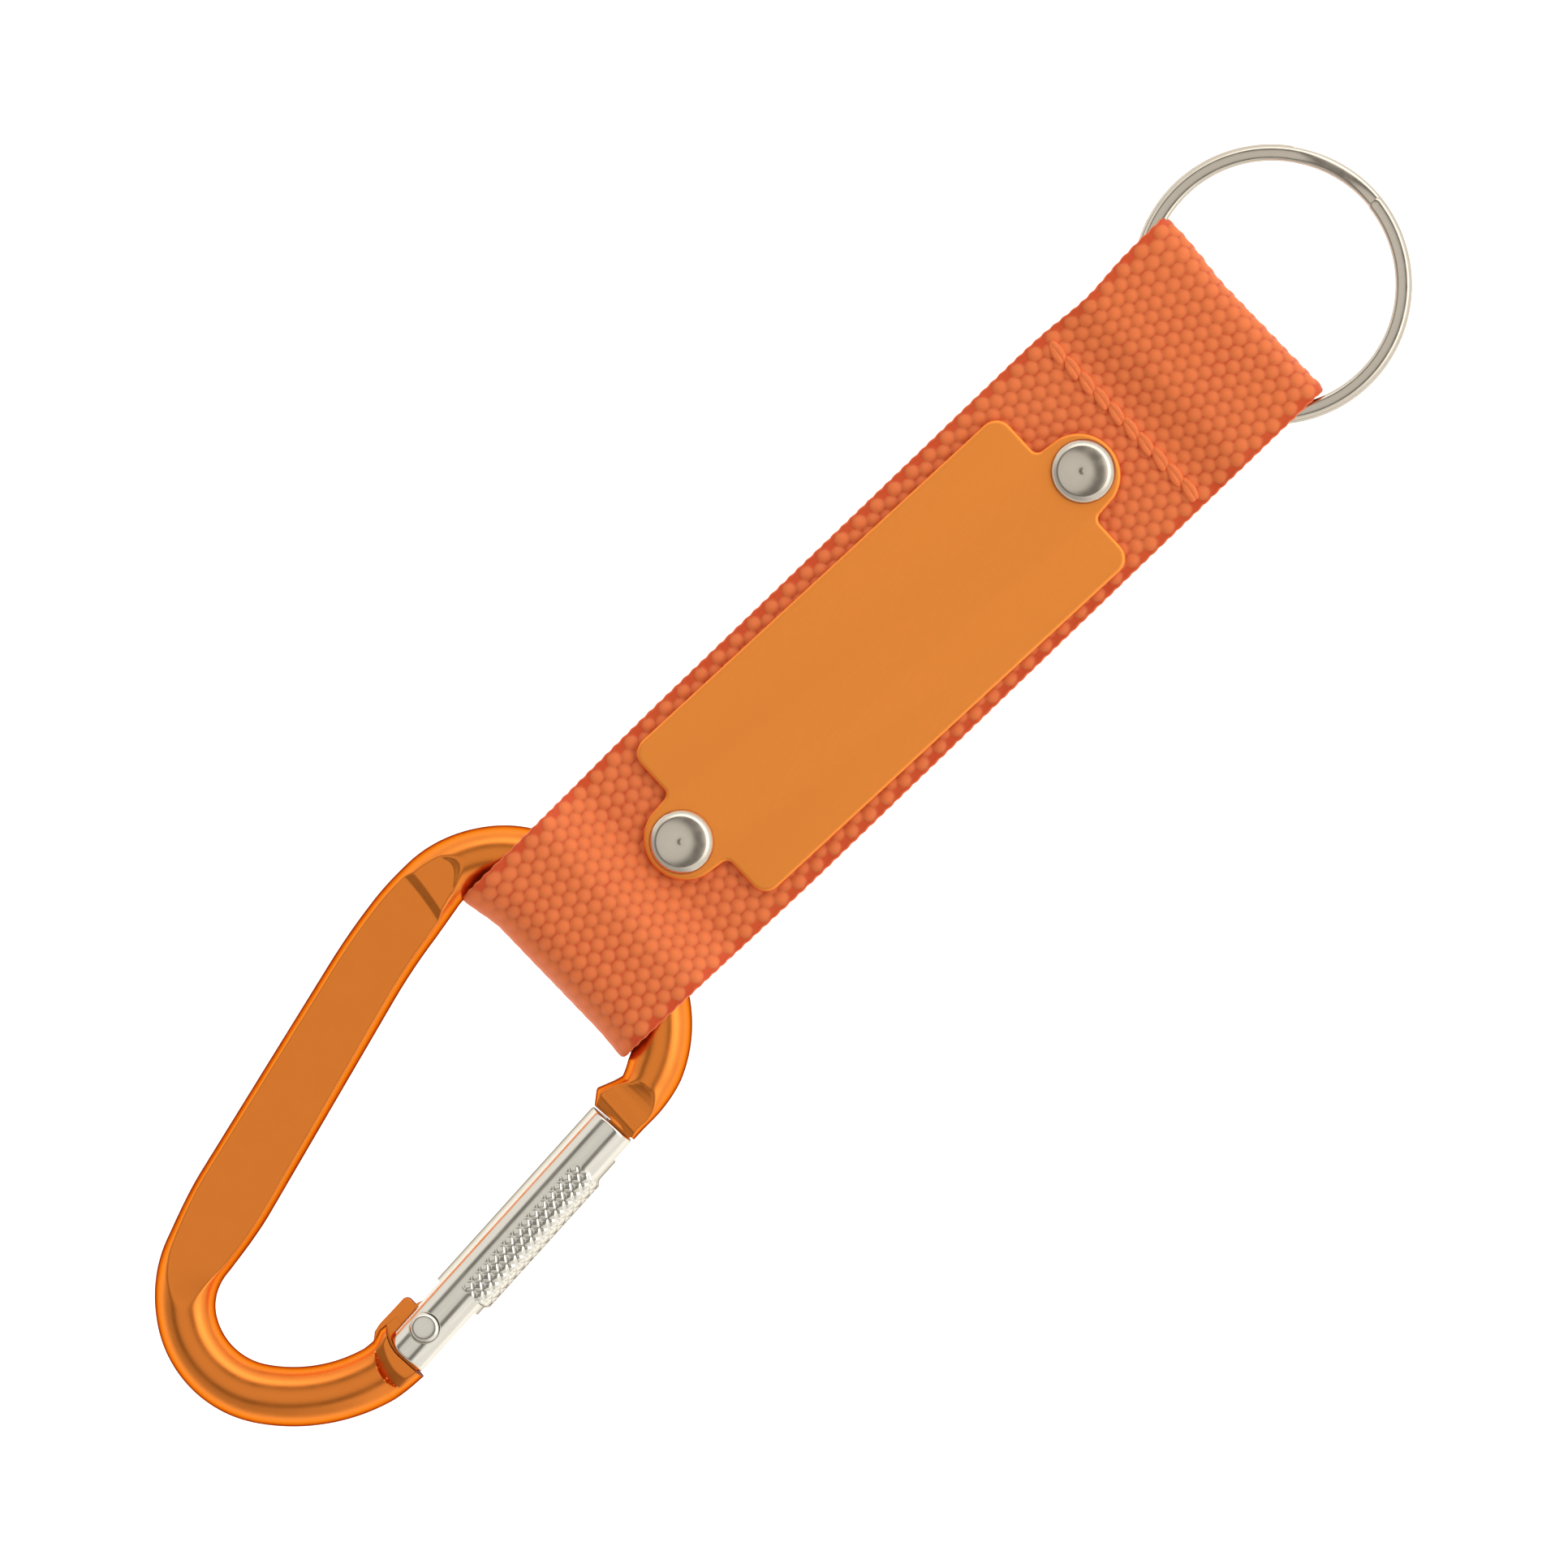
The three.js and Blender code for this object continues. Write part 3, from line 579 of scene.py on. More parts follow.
def gate_rows(knurl_pitch, sides=160):
    """Rows of the gate's tube, with the raised diamond grip on its outer side. The tail is curved
    and the other end is square with a small bevel."""
    grip_start, grip_end = 5.8, 24.2
    along = np.concatenate(
        [
            -GATE_TAIL + 0.3 * (1 - np.cos(np.linspace(0, math.pi / 2, 6))),
            np.arange(-GATE_TAIL + 0.5, grip_start - 0.5, 0.35),
            np.arange(grip_start - 0.5, grip_end + 0.5, 0.12),
            np.arange(grip_end + 0.5, GATE_END - 0.4, 0.4),
            GATE_END - 0.3 * (1 - np.cos(np.linspace(math.pi / 2, 0, 6))),
        ]
    )
    angles = np.linspace(0, 2 * math.pi, sides, endpoint=False)
    # Angle round the tube from its top towards its outer side.
    lean = np.degrees(np.arctan2(-np.sin(angles), np.cos(angles)))[None, :]
    s = along[:, None]
    raised = smoothstep(14, 52, lean) * smoothstep(166, 128, lean)
    ends = smoothstep(grip_start - 0.05, grip_start + 0.3, s) * smoothstep(grip_end + 0.05, grip_end - 0.6, s)
    round_way = np.radians(lean) * GATE_RADIUS
    cut = np.minimum(
        *(np.abs(((s + way * round_way) / knurl_pitch) % 1 - 0.5) * knurl_pitch for way in (0.8, -0.8))
    )
    groove = 0.12 * (1 - smoothstep(0.0, 0.3, cut)) * smoothstep(-16, 0, lean) * smoothstep(176, 164, lean)
    radius = GATE_RADIUS + (0.42 * raised - groove) * ends
    for end, way in ((GATE_END, 1), (-GATE_TAIL, -1)):
        inside = np.clip((end - s) * way / 0.3, 0, 1)
        radius = radius - 0.24 * (1 - np.sqrt(1 - (1 - inside) ** 2))

    def tube(distance, reach):
        y, z = reach * np.sin(angles), reach * np.cos(angles)
        past_pin = np.maximum(y - PIN_INSET, 0)
        tail = GATE_TAIL - np.sqrt(GATE_TAIL**2 - np.minimum(past_pin, GATE_TAIL) ** 2)
        tail = tail * np.clip(1 - (distance + GATE_TAIL) / 2.5, 0, 1)
        return np.stack([distance + tail, y, np.broadcast_to(z, y.shape)], axis=-1)

    rows = tube(np.broadcast_to(s, radius.shape), radius)
    shares = np.array([0.01, 0.2, 0.4, 0.6, 0.8])[:, None]
    tail_cap = tube(np.full((5, sides), -GATE_TAIL), shares * radius[0])
    end_cap = tube(np.full((5, sides), GATE_END), shares[::-1] * radius[-1])
    return np.concatenate([tail_cap, rows, end_cap])


def gate_sleeve(material, knurl_pitch):
    """The tube with the slots that take the frame's tongues, the spring's bore and the pin's holes."""
    body = swept_mesh("gate", gate_rows(knurl_pitch))
    bore = cylinder(1.65, 3.7, 16.3)
    bore.transform(Matrix.Rotation(math.pi / 2, 4, "Y"))
    tools = [
        block((-6, -5, -1.45), (4.7, 6, 1.45)),
        block((26.8, -5, -1.2), (GATE_END + 2, 0.95, 1.2)),
        bore,
        cylinder(1.15, -5, 5, 0, PIN_INSET),
        cylinder(1.72, 2.3, 5, 0, PIN_INSET),
        cylinder(1.72, -5, -2.3, 0, PIN_INSET),
    ]
    for tool in tools:
        body = carve(body, tool, "DIFFERENCE")
    body.transform(GATE_PLACE)
    return finish_mesh("gate_sleeve", body, material, sharp=38)


def pivot_rivet(material):
    """The pin with a low, slightly domed head on each side."""
    shank, under, rim = [(1.0, 2.1), (1.0, 2.42)], [(1.5, 2.42), (1.62, 2.5)], [(1.6, 2.62), (1.42, 2.82)]
    upper = shank + under + rim + [(1.1, 2.92), (0.6, 2.97), (0, 2.99)]
    profile = [(r, -z) for r, z in upper[::-1]] + upper
    mesh = swept_mesh("rivet", turned_rows(profile, 64), GATE_PLACE @ Matrix.Translation((0, PIN_INSET, 0)))
    return finish_mesh("gate_pivot_rivet", mesh, material, sharp=50)


def plunger(material):
    """The turned plunger between the frame's lug and the spring."""
    head = [(0, 2.95), (0.9, 2.95), (1.2, 3.05), (1.34, 3.3), (1.35, 5.6), (1.25, 5.7)]
    profile = head + [(0.62, 5.72), (0.6, 8.9), (0.5, 9), (0, 9)]
    turn = Matrix.Rotation(math.pi / 2, 4, "Y")
    mesh = swept_mesh("plunger", turned_rows(profile, 48), GATE_PLACE @ turn)
    return finish_mesh("gate_plunger", mesh, material)


def round_wire(line, radius, sides=16, flat=1.0):
    """Rows of a wire of a given radius round the points of a line; flat squeezes it along z."""
    line = np.asarray(line, float)
    ahead = np.gradient(line, axis=0)
    ahead /= np.linalg.norm(ahead, axis=1)[:, None]
    beside = np.cross(ahead, np.array([0.0, 0.0, 1.0]))
    short = np.linalg.norm(beside, axis=1) < 1e-6
    beside[short] = (0, 1, 0)
    beside /= np.linalg.norm(beside, axis=1)[:, None]
    up = np.cross(beside, ahead)
    angles = np.linspace(0, 2 * math.pi, sides, endpoint=False)
    radius = np.broadcast_to(radius, len(line))[:, None, None]
    around = np.cos(angles)[None, :, None] * beside[:, None]
    around = around + flat * np.sin(angles)[None, :, None] * up[:, None]
    return line[:, None] + radius * around


def compression_spring(material):
    """The wire coil in the gate's bore."""
    turns, low, high, coil = 9, 6.3, 15.9, 1.15
    t = np.linspace(0, 1, turns * 36)
    angle = t * turns * 2 * math.pi
    line = np.stack([low + (high - low) * t, coil * np.cos(angle), coil * np.sin(angle)], axis=1)
    ahead = np.gradient(line, axis=0)
    ahead /= np.linalg.norm(ahead, axis=1)[:, None]
    outward = np.stack([np.zeros_like(angle), np.cos(angle), np.sin(angle)], axis=1)
    side = np.cross(ahead, outward)
    round_way = np.linspace(0, 2 * math.pi, 12, endpoint=False)[None, :, None]
    rows = line[:, None] + 0.18 * (np.cos(round_way) * outward[:, None] + np.sin(round_way) * side[:, None])
    return finish_mesh("gate_spring_coil", swept_mesh("spring", rows, GATE_PLACE), material)


# ---- strap ----


def loop_line(bar_x, fold_x, radius, neck, butt):
    """The middle of the webbing in side view, from the middle of the front over the fold to the
    middle of the back, as points 0.1 mm apart. x is the distance from the strap's middle."""
    run = neck - bar_x
    rise = math.asin(min(1.0, (radius - LAYER_MIDDLE) / abs(run)))
    steps = np.radians(np.linspace(90 - math.degrees(rise), 90, 12))
    shoulder = [(bar_x - radius * math.cos(a), radius * math.sin(a)) for a in steps]
    fold = arc(fold_x, 0, radius, 90, -90, 59)
    front = [(0, LAYER_MIDDLE), (neck, LAYER_MIDDLE)] + shoulder
    back = [(x, -z) for x, z in ([(butt, LAYER_MIDDLE), (neck, LAYER_MIDDLE)] + shoulder)][::-1]
    points = np.array(front + fold + back)
    gaps = np.linalg.norm(np.diff(points, axis=0), axis=1)
    keep = np.concatenate([[True], gaps > 1e-6])
    points = points[keep]
    length = np.concatenate([[0], np.cumsum(np.linalg.norm(np.diff(points, axis=0), axis=1))])
    even = np.linspace(0, length[-1], int(length[-1] / 0.1))
    line = np.stack([np.interp(even, length, points[:, k]) for k in (0, 1)], axis=1)
    # Webbing doesn't kink, so the corners are eased over about 2 mm.
    kernel = np.hanning(23)
    kernel /= kernel.sum()
    padded = np.vstack([2 * line[0] - line[11:0:-1], line, 2 * line[-1] - line[-2:-13:-1]])
    return np.stack([np.convolve(padded[:, k], kernel, "valid") for k in (0, 1)], axis=1)


def weave_height(u, v, column, pitch, half_width):
    """How high the woven face stands, from 0 in the gaps to 1 on the crowns. u runs along the strap
    and v across it. Each crown is a warp yarn that comes up over one weft, and the crowns of
    neighbouring columns are staggered by half."""
    height = np.zeros(np.broadcast(u, v).shape)
    base = np.floor(u / column)
    for step in (-1, 0, 1):
        k = base + step
        centre_u = (k + 0.5) * column
        shift = np.where(k % 2 == 0, 0.0, 0.5)
        row = np.round(v / pitch - shift)
        for other in (-1, 0, 1):
            r = row + other
            # A seeded jitter for each crown, from its own column and row.
            jitter = np.sin(k * 12.9898 + r * 78.233) * 43758.5453
            jitter = jitter - np.floor(jitter)
            centre_v = (r + shift) * pitch
            reach_u = column * (0.62 + 0.05 * jitter)
            reach_v = pitch * (0.49 + 0.03 * jitter)
            away = np.sqrt(((u - centre_u) / reach_u) ** 2 + ((v - centre_v) / reach_v) ** 2)
            dome = np.cos(np.minimum(away, 1) * math.pi / 2) ** 0.75 * (0.85 + 0.15 * jitter)
            height = np.maximum(height, np.where(np.abs(centre_v) < half_width - 0.5, dome, 0))
    return height


def strap_half(name, side, line, place_for, material, sizes, shape):
    """One end of the strap: webbing that runs from the middle of the front over its fold to the
    middle of the back. side is -1 for the carabiner's end and 1 for the ring's. shape(x, y) moves
    points in plan. place_for(x) gives each end's placement at rest as (matrix, share) pairs."""
    thickness = WEBBING_THICKNESS
    column, pitch = sizes.weave_column / MM, sizes.weave_pitch / MM
    relief = sizes.weave_relief / MM
    ahead = np.gradient(line, axis=0)
    step = np.linalg.norm(ahead, axis=1)
    ahead /= step[:, None]
    outward = np.stack([-ahead[:, 1], ahead[:, 0]], axis=1)
    stations = np.arange(0, len(line), 2)
    if stations[-1] != len(line) - 1:
        stations = np.append(stations, len(line) - 1)
    along = np.concatenate([[0], np.cumsum(np.linalg.norm(np.diff(line, axis=0), axis=1))])

    half = WEBBING_WIDTH / 2
    edge = thickness / 2 * 0.6
    face = np.linspace(half - edge, -(half - edge), 116)
    inner = np.linspace(-(half - edge), half - edge, 42)
    bend = np.radians(np.linspace(0, 180, 9))[1:-1]
    # Round the section: the outer face, one selvedge, the inner face, the other selvedge.
    v = np.concatenate([face, -(half - edge) - edge * np.sin(bend), inner, half - edge + edge * np.sin(bend)])
    sides = [np.ones(len(face)), np.cos(bend), -np.ones(len(inner)), -np.cos(bend)]
    level = np.concatenate(sides) * (thickness / 2 - 0.1)
    outer = np.concatenate([np.ones(len(face)), np.zeros(len(v) - len(face))])

    u = along[stations][:, None] * side
    crowns = weave_height(u, v[None, :], column, pitch, half)
    faces_out = np.where(level > 0, 1, -1)[None, :]
    face_weight = smoothstep(0.3, 0.75, np.abs(level[None, :]) / thickness * 2)
    # The crowns pull flat where the webbing bends hard round the bar.
    flat = 1 - 0.85 * smoothstep(2.0, 3.7, line[stations, 0] + BAR_FOLD_X)[:, None] * (side < 0)
    crowns = 0.9 + (crowns - 0.9) * flat
    lift = (crowns - 0.55) * relief * face_weight * faces_out * np.where(outer > 0, 1, 0.4)[None, :]
    offset = level[None, :] + lift
    # The selvedge is drawn in a little between the picks.
    ripple = 0.05 * np.sin(2 * math.pi * u / column) * smoothstep(half - 0.8, half, np.abs(v))[None, :]

    line_x = line[stations, 0][:, None] + outward[stations, 0][:, None] * offset
    z = line[stations, 1][:, None] + outward[stations, 1][:, None] * offset
    x = side * line_x
    y = np.broadcast_to(v[None, :], x.shape) * (1 + ripple / half)
    x, y, z = shape(x, y, z)
    points = np.stack([x, y, z], axis=-1)
    placed_points = sum(placed(points, place) * share[..., None] for place, share in place_for(x))
    mesh = raw_mesh(name, placed_points.reshape(-1, 3), sweep_faces(*points.shape[:2]))
    # The crown height is stored for painted shade: the material darkens the colour where it is low, in the
    # gaps between crowns; the selvedges and the inner face get a middle value.
    crown = mesh.attributes.new("crown", "FLOAT", "POINT")
    painted_shade_height = np.where(face_weight * np.ones_like(crowns) > 0.5, crowns, 0.72)
    crown.data.foreach_set("value", painted_shade_height.astype(np.float32).ravel())
    return finish_mesh(name, mesh, material, sharp=60)


def two_places(near, far, neck, side):
    """Placements that pass from the strap's to its end's over the neck."""

    def place_for(x):
        share = smoothstep(neck - 1.5, neck + 1.5, x * side)
        return ((near, 1 - share), (far, share))

    return place_for


def carabiner_half(material, sizes):
    """The half of the strap that loops round the carabiner's top bar. It narrows a little towards
    the fold, where the bar's bends crowd it."""
    line = loop_line(-TOP_BAR_X, -BAR_FOLD_X, BAR_LOOP_RADIUS, NECK_X - 0.4, 0.3)

    def shape(x, y, z):
        far = smoothstep(22, 51, -x)
        y = y * (1 - 0.035 * far)
        corner = smoothstep(6.5, 12.5, y) * 0.85 + smoothstep(7.5, 12.5, -y) * 0.25
        return x - corner * smoothstep(44, 51, -x), y * 1.012 + 0.14, z

    places = two_places(STRAP_PLACE, CARABINER_PLACE, NECK_X, -1)
    return strap_half("strap_webbing_carabiner_end", -1, line, places, material, sizes, shape), line


def ring_half(material, sizes):
    """The half of the strap that loops round the split ring. Its edge is drawn in beside the
    seam, and one corner of the fold stands out over the ring."""
    line = loop_line(40.0, RING_FOLD_X, RING_LOOP_RADIUS, NECK_X - 0.2, 0.3)

    def shape(x, y, z):
        near_seam = np.exp(-(((x - 40) / 4.5) ** 2))
        y = y - 0.5 * near_seam * smoothstep(4, 12.5, y)
        corner = smoothstep(2, 10, y) * smoothstep(45, 51, x)
        return x + 0.6 * corner, y * 1.012 + 0.14, z

    places = two_places(STRAP_PLACE, RING_END_PLACE, NECK_X, 1)
    return strap_half("strap_webbing_ring_end", 1, line, places, material, sizes, shape), line


def stitch_row(name, side, material, sizes):
    """A row of stitches across the strap: each is two plies that rise out of the webbing, lie slanted
    on it and dip in again."""
    stitch = sizes.stitch_length / MM
    run = WEBBING_WIDTH - 2.4
    count = round(run / stitch)
    points, faces = [], []
    for k in range(count):
        middle = (k + 0.5) * run / count - run / 2
        for ply in (-1, 1):
            t = np.linspace(-1, 1, 21)
            rise = np.sqrt(np.maximum(1 - t**2, 0))
            twist = t * 1.3 + 0.3
            x = STITCH_ROW_X + 0.3 * t + ply * 0.3 * np.cos(twist)
            y = middle + t * run / count * 0.56
            z = side * (1.12 + 0.3 * rise + ply * 0.05 * np.sin(twist))
            rows = round_wire(np.stack([x, y, z], axis=1), 0.42 * (0.5 + 0.5 * rise), 14, 0.7)
            first = sum(len(p) for p in points)
            points.append(rows.reshape(-1, 3))
            faces += sweep_faces(*rows.shape[:2], first=first)
    mesh = raw_mesh(name, placed(np.concatenate(points), STRAP_PLACE), faces)
    return finish_mesh(name, mesh, material, sharp=80)


# ---- label plate and rivets ----


def plate_outline():
    """A rectangle with rounded corners and a round tab about each rivet."""
    corner, fillet, tab, tab_half, reach = 1.9, 0.8, 4.5, 4.6, 0.6
    half_length, half_width = 26.8, 10.65
    right = (
        arc(half_length - corner, -half_width + corner, corner, -90, 0)
        + arc(half_length + fillet, -tab_half - fillet, fillet, 180, 90)
        + arc(RIVET_SPACING / 2 - reach, 0, tab, -75.6, 75.6, 30)
        + arc(half_length + fillet, tab_half + fillet, fillet, -90, -180)
        + arc(half_length - corner, half_width - corner, corner, 0, 90)
    )
    outline = right + [(-x, -y) for x, y in right]
    return [(x, y + 0.15 if abs(y) > tab_half + 1 else y) for x, y in outline]


def label_plate(material):
    """Stamped sheet with a rolled-over edge, pierced for its two rivets."""
    rows = rounded_slab(plate_outline(), PLATE_LOW, PLATE_HIGH, 0.28, 1.7)
    mesh = swept_mesh("plate", rows)
    for x in (-RIVET_SPACING / 2, RIVET_SPACING / 2):
        mesh = carve(mesh, cylinder(1.65, 0, 4, x), "DIFFERENCE")
    mesh.transform(PLATE_PLACE)
    return finish_mesh("label_plate_sheet", mesh, material, sharp=38)


def rivet_cap(name, x, material):
    """A pressed cap: a low dome with a small dimple and a rounded shoulder, hollow underneath."""
    low, crown, dome = PLATE_HIGH + 0.08, PLATE_HIGH + 1.3, 9.3
    radius = np.linspace(0, 2.75, 24)
    dimple = 0.13 * np.exp(-((radius / 0.45) ** 2))
    face = [(r, crown - dome + math.sqrt(dome**2 - r**2) - d) for r, d in zip(radius, dimple)]
    turn = [(2.95, crown - 0.52), (3.2, crown - 0.7), (3.42, crown - 0.95)]
    shoulder = eased([face[-1], *turn, (3.48, low + 0.05), (3.4, low)])
    hollow = [(0, low + 0.3), (1.7, low + 0.3), (1.8, low)]
    profile = hollow + [tuple(p) for p in shoulder[::-1]] + face[-2::-1]
    mesh = swept_mesh(name, turned_rows(profile, 96), PLATE_PLACE @ Matrix.Translation((x, 0, 0)))
    return finish_mesh(name, mesh, material, sharp=50)


def rivet_post(name, x, material):
    """The tubular post with its flange against the back of the strap."""
    low = -1.38
    lip = [(1.1, low - 0.62), (2.2, low - 0.66), (3.1, low - 0.5)]
    flange = eased([*lip, (3.45, low - 0.22), (3.42, low - 0.02), (3.2, low)])
    hollow = [(0, low - 0.1), (0.75, low - 0.14), (0.95, low - 0.5)]
    shank = [(1.5, low), (1.5, PLATE_HIGH + 0.28), (0, PLATE_HIGH + 0.28)]
    profile = hollow + [tuple(p) for p in flange] + shank
    mesh = swept_mesh(name, turned_rows(profile, 96), PLATE_PLACE @ Matrix.Translation((x, 0, 0)))
    return finish_mesh(name, mesh, material, sharp=50)


# ---- split ring ----


def split_ring(material, sizes):
    """Two coils of flat wire with a joggle that steps from one to the other."""
    outer, wide, high, shift = sizes.ring_diameter / 2 / MM, 1.65, 1.05, 0.12
    joggle, half_joggle = 16.0, 20.0
    angle = np.linspace(joggle + half_joggle + 0.5, joggle + 720 - half_joggle - 0.5, 521)
    step = smoothstep(joggle + 360 - half_joggle, joggle + 360 + half_joggle, angle)
    around = np.linspace(0, 2 * math.pi, 32, endpoint=False)
    # The cut ends of the wire are only a little rounded off.
    end = np.minimum(np.arange(len(angle)), np.arange(len(angle))[::-1])
    trim = np.interp(end, [0, 1], [0.8, 1.0])[:, None]

    def half_section(value, size):
        return np.sign(value) * np.abs(value) ** 0.75 * size / 2 * trim

    middle = (outer - wide / 2 - 2 * shift * step)[:, None]
    reach = middle + half_section(np.cos(around), wide)
    turn = np.radians(angle)[:, None]
    z = (step[:, None] - 0.5) * (high + 0.1) + half_section(np.sin(around), high)
    rows = np.stack([reach * np.cos(turn), reach * np.sin(turn), z], axis=-1)
    return finish_mesh("split_ring_wire", swept_mesh("ring", rows, RING_PLACE), material, sharp=60)


# ---- user settings ----


def length_setting(name, description, default, low, high):
    return bpy.props.FloatProperty(
        name=name, description=description, default=default, min=low, max=high, unit="LENGTH", precision=5
    )


def colour_setting(name, description, hex_colour):
    return bpy.props.FloatVectorProperty(
        name=name, description=description, default=linear(hex_colour), min=0, max=1, size=3, subtype="COLOR"
    )


class KeyringSizes(bpy.types.PropertyGroup):
    """Sizes of the keyring's textures and small parts."""

    weave_column: length_setting(
        "Weave column", "From one pick of the weave to the next, along the strap", 0.001305, 0.0006, 0.003
    )
    weave_pitch: length_setting(
        "Weave pitch", "From one crown to the next in a column, across the strap", 0.001635, 0.0006, 0.004
    )
    weave_relief: length_setting("Weave relief", "Height of a crown above the gaps", 0.00028, 0.0, 0.001)
    stitch_length: length_setting("Stitch length", "Length of a stitch in the seam", 0.0023, 0.001, 0.006)
    knurl_pitch: length_setting(
        "Knurl pitch", "Distance between the grooves of the gate's grip", 0.0013, 0.0005, 0.003
    )
    ring_diameter: length_setting("Ring diameter", "Outside diameter of the split ring", 0.0302, 0.03, 0.0304)


class KeyringColours(bpy.types.PropertyGroup):
    """Colours of the keyring's finishes."""

    rod: colour_setting("Carabiner", "Dyed bright aluminium of the carabiner's frame", "#F08838")
    rod_edge: colour_setting("Carabiner edges", "Tint of the dyed aluminium seen edge on", "#5A4030")
    plate: colour_setting("Label plate", "Dyed satin aluminium of the label plate", "#FF9C46")
    webbing: colour_setting("Webbing", "Crowns of the woven strap", "#F67D40")
    # Painted shade: the gap colour is darker than the crowns to stand in for the shade between them.
    webbing_gap_shade: colour_setting("Webbing gaps", "Gaps between the crowns of the woven strap", "#DC4F1C")
    thread: colour_setting("Thread", "Stitches of the seam", "#FF8240")
    aluminium: colour_setting("Gate", "Plain aluminium of the gate", "#E5E0D3")
    metal_edge: colour_setting("Plain metal edges", "Tint of nickel and aluminium seen edge on", "#8E867C")
    nickel: colour_setting("Nickel", "Plating of the rivets and the split ring", "#D4CABA")
    steel: colour_setting("Steel", "Spring and plunger", "#9C9B98")


# ---- operators ----


def register_piece(piece, body, slot, *nodes):
    """Ties a finished piece to its body and hides the CAD nodes that it stands for; slot is not used."""
    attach(piece, body)
    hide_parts(*nodes)


class KEYRING_OT_stage(bpy.types.Operator):
    """Set the camera, the floor and the soft light"""

    bl_idname = "keyring.stage"
    bl_label = "Stage"

    def execute(self, context):
        make_camera()
        make_floor()
        make_light()
        return {"FINISHED"}


class KEYRING_OT_carabiner(bpy.types.Operator):
    """Make the carabiner's frame"""

    bl_idname = "keyring.carabiner"
    bl_label = "Carabiner frame"

    def execute(self, context):
        piece = carabiner_frame(anodised_aluminium(context.scene.keyring_colours))
        register_piece(piece, "carabiner", "anodised_body", "carabiner_body")
        return {"FINISHED"}


class KEYRING_OT_gate(bpy.types.Operator):
    """Make the gate with its rivet, plunger and spring"""

    bl_idname = "keyring.gate"
    bl_label = "Gate"

    def execute(self, context):
        colours, sizes = context.scene.keyring_colours, context.scene.keyring_sizes
        bright, dull = polished_aluminium(colours), spring_steel(colours)
        register_piece(gate_sleeve(bright, sizes.knurl_pitch / MM), "gate", "gate_aluminium", "gate")
        register_piece(pivot_rivet(bright), "carabiner", "gate_aluminium", "gate_pivot_pin")
        register_piece(plunger(dull), "plunger", "steel", "spring_plunger")
        coil = compression_spring(dull)
        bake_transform(coil)
        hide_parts("gate_spring")
        return {"FINISHED"}


class KEYRING_OT_strap(bpy.types.Operator):
    """Weave the strap's two halves"""

    bl_idname = "keyring.strap"
    bl_label = "Webbing strap"

    def execute(self, context):
        sizes = context.scene.keyring_sizes
        material = nylon_webbing(context.scene.keyring_colours)
        halves = (
            (carabiner_half, "carabiner", -1, ("strap_loop_carabiner", "strap_rear_carabiner_end")),
            (ring_half, "ring_loop", 1, ("strap_loop_ring", "strap_rear_ring_end", "strap_front_layer")),
        )
        for make, body, side, nodes in halves:
            piece, line = make(material, sizes)
            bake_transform(piece)
            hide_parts(*nodes)
        return {"FINISHED"}


class KEYRING_OT_stitches(bpy.types.Operator):
    """Sew the seam beside the ring's loop"""

    bl_idname = "keyring.stitches"
    bl_label = "Stitch rows"

    def execute(self, context):
        material = sewing_thread(context.scene.keyring_colours)
        for name, side in (("front", 1), ("rear", -1)):
            piece = stitch_row(f"seam_thread_{name}", side, material, context.scene.keyring_sizes)
            register_piece(piece, "strap", "thread", f"stitch_row_{name}")
        return {"FINISHED"}


class KEYRING_OT_label(bpy.types.Operator):
    """Make the label plate"""

    bl_idname = "keyring.label"
    bl_label = "Label plate"

    def execute(self, context):
        piece = label_plate(satin_anodised_aluminium(context.scene.keyring_colours))
        register_piece(piece, "strap", "anodised_plate", "label_plate")
        return {"FINISHED"}


class KEYRING_OT_rivets(bpy.types.Operator):
    """Set the two rivets"""

    bl_idname = "keyring.rivets"
    bl_label = "Rivets"

    def execute(self, context):
        material = nickel_plate(context.scene.keyring_colours)
        for end, x in (("carabiner_end", -RIVET_SPACING / 2), ("ring_end", RIVET_SPACING / 2)):
            cap = rivet_cap(f"rivet_cap_pressed_{end}", x, material)
            register_piece(cap, "strap", "nickel", f"rivet_cap_{end}")
            post = rivet_post(f"rivet_post_pressed_{end}", x, material)
            register_piece(post, "strap", "nickel", f"rivet_post_{end}")
        return {"FINISHED"}


class KEYRING_OT_ring(bpy.types.Operator):
    """Wind the split ring"""

    bl_idname = "keyring.ring"
    bl_label = "Split ring"

    def execute(self, context):
        material = nickel_plate(context.scene.keyring_colours)
        register_piece(split_ring(material, context.scene.keyring_sizes), "ring", "nickel", "split_ring")
        return {"FINISHED"}


class KEYRING_PT_panel(bpy.types.Panel):
    """The keyring's pieces and settings"""

    bl_idname = "KEYRING_PT_panel"
    bl_label = "Carabiner Keyring"
    bl_space_type = "VIEW_3D"
    bl_region_type = "UI"
    bl_category = "Keyring"

    def draw(self, context):
        for operator in OPERATORS:
            self.layout.operator(operator.bl_idname)
        for settings in (context.scene.keyring_sizes, context.scene.keyring_colours):
            column = self.layout.column()
            for name in settings.__annotations__:
                column.prop(settings, name)


# ---- stage ----

VIEW_CENTRE = (-19.35, -2.83, 0)
VIEW_WIDTH = 0.168
VIEW_TURN = -43.9
FLOOR_DROP = 0.09


def make_camera():
    """A long lens straight above the keyring, turned so that the strap runs up to the right."""
    data = bpy.data.cameras.new("camera")
    data.lens, data.sensor_width = 300.0, 36.0
    data.clip_start, data.clip_end = 0.01, 10
    camera = bpy.data.objects.new("camera", data)
    bpy.context.scene.collection.objects.link(camera)
    target = STRAP_PLACE @ Vector(VIEW_CENTRE)
    camera.location = (target.x, target.y, target.z + VIEW_WIDTH * data.lens / data.sensor_width)
    camera.rotation_euler = (0, 0, math.radians(VIEW_TURN))
    bpy.context.scene.camera = camera


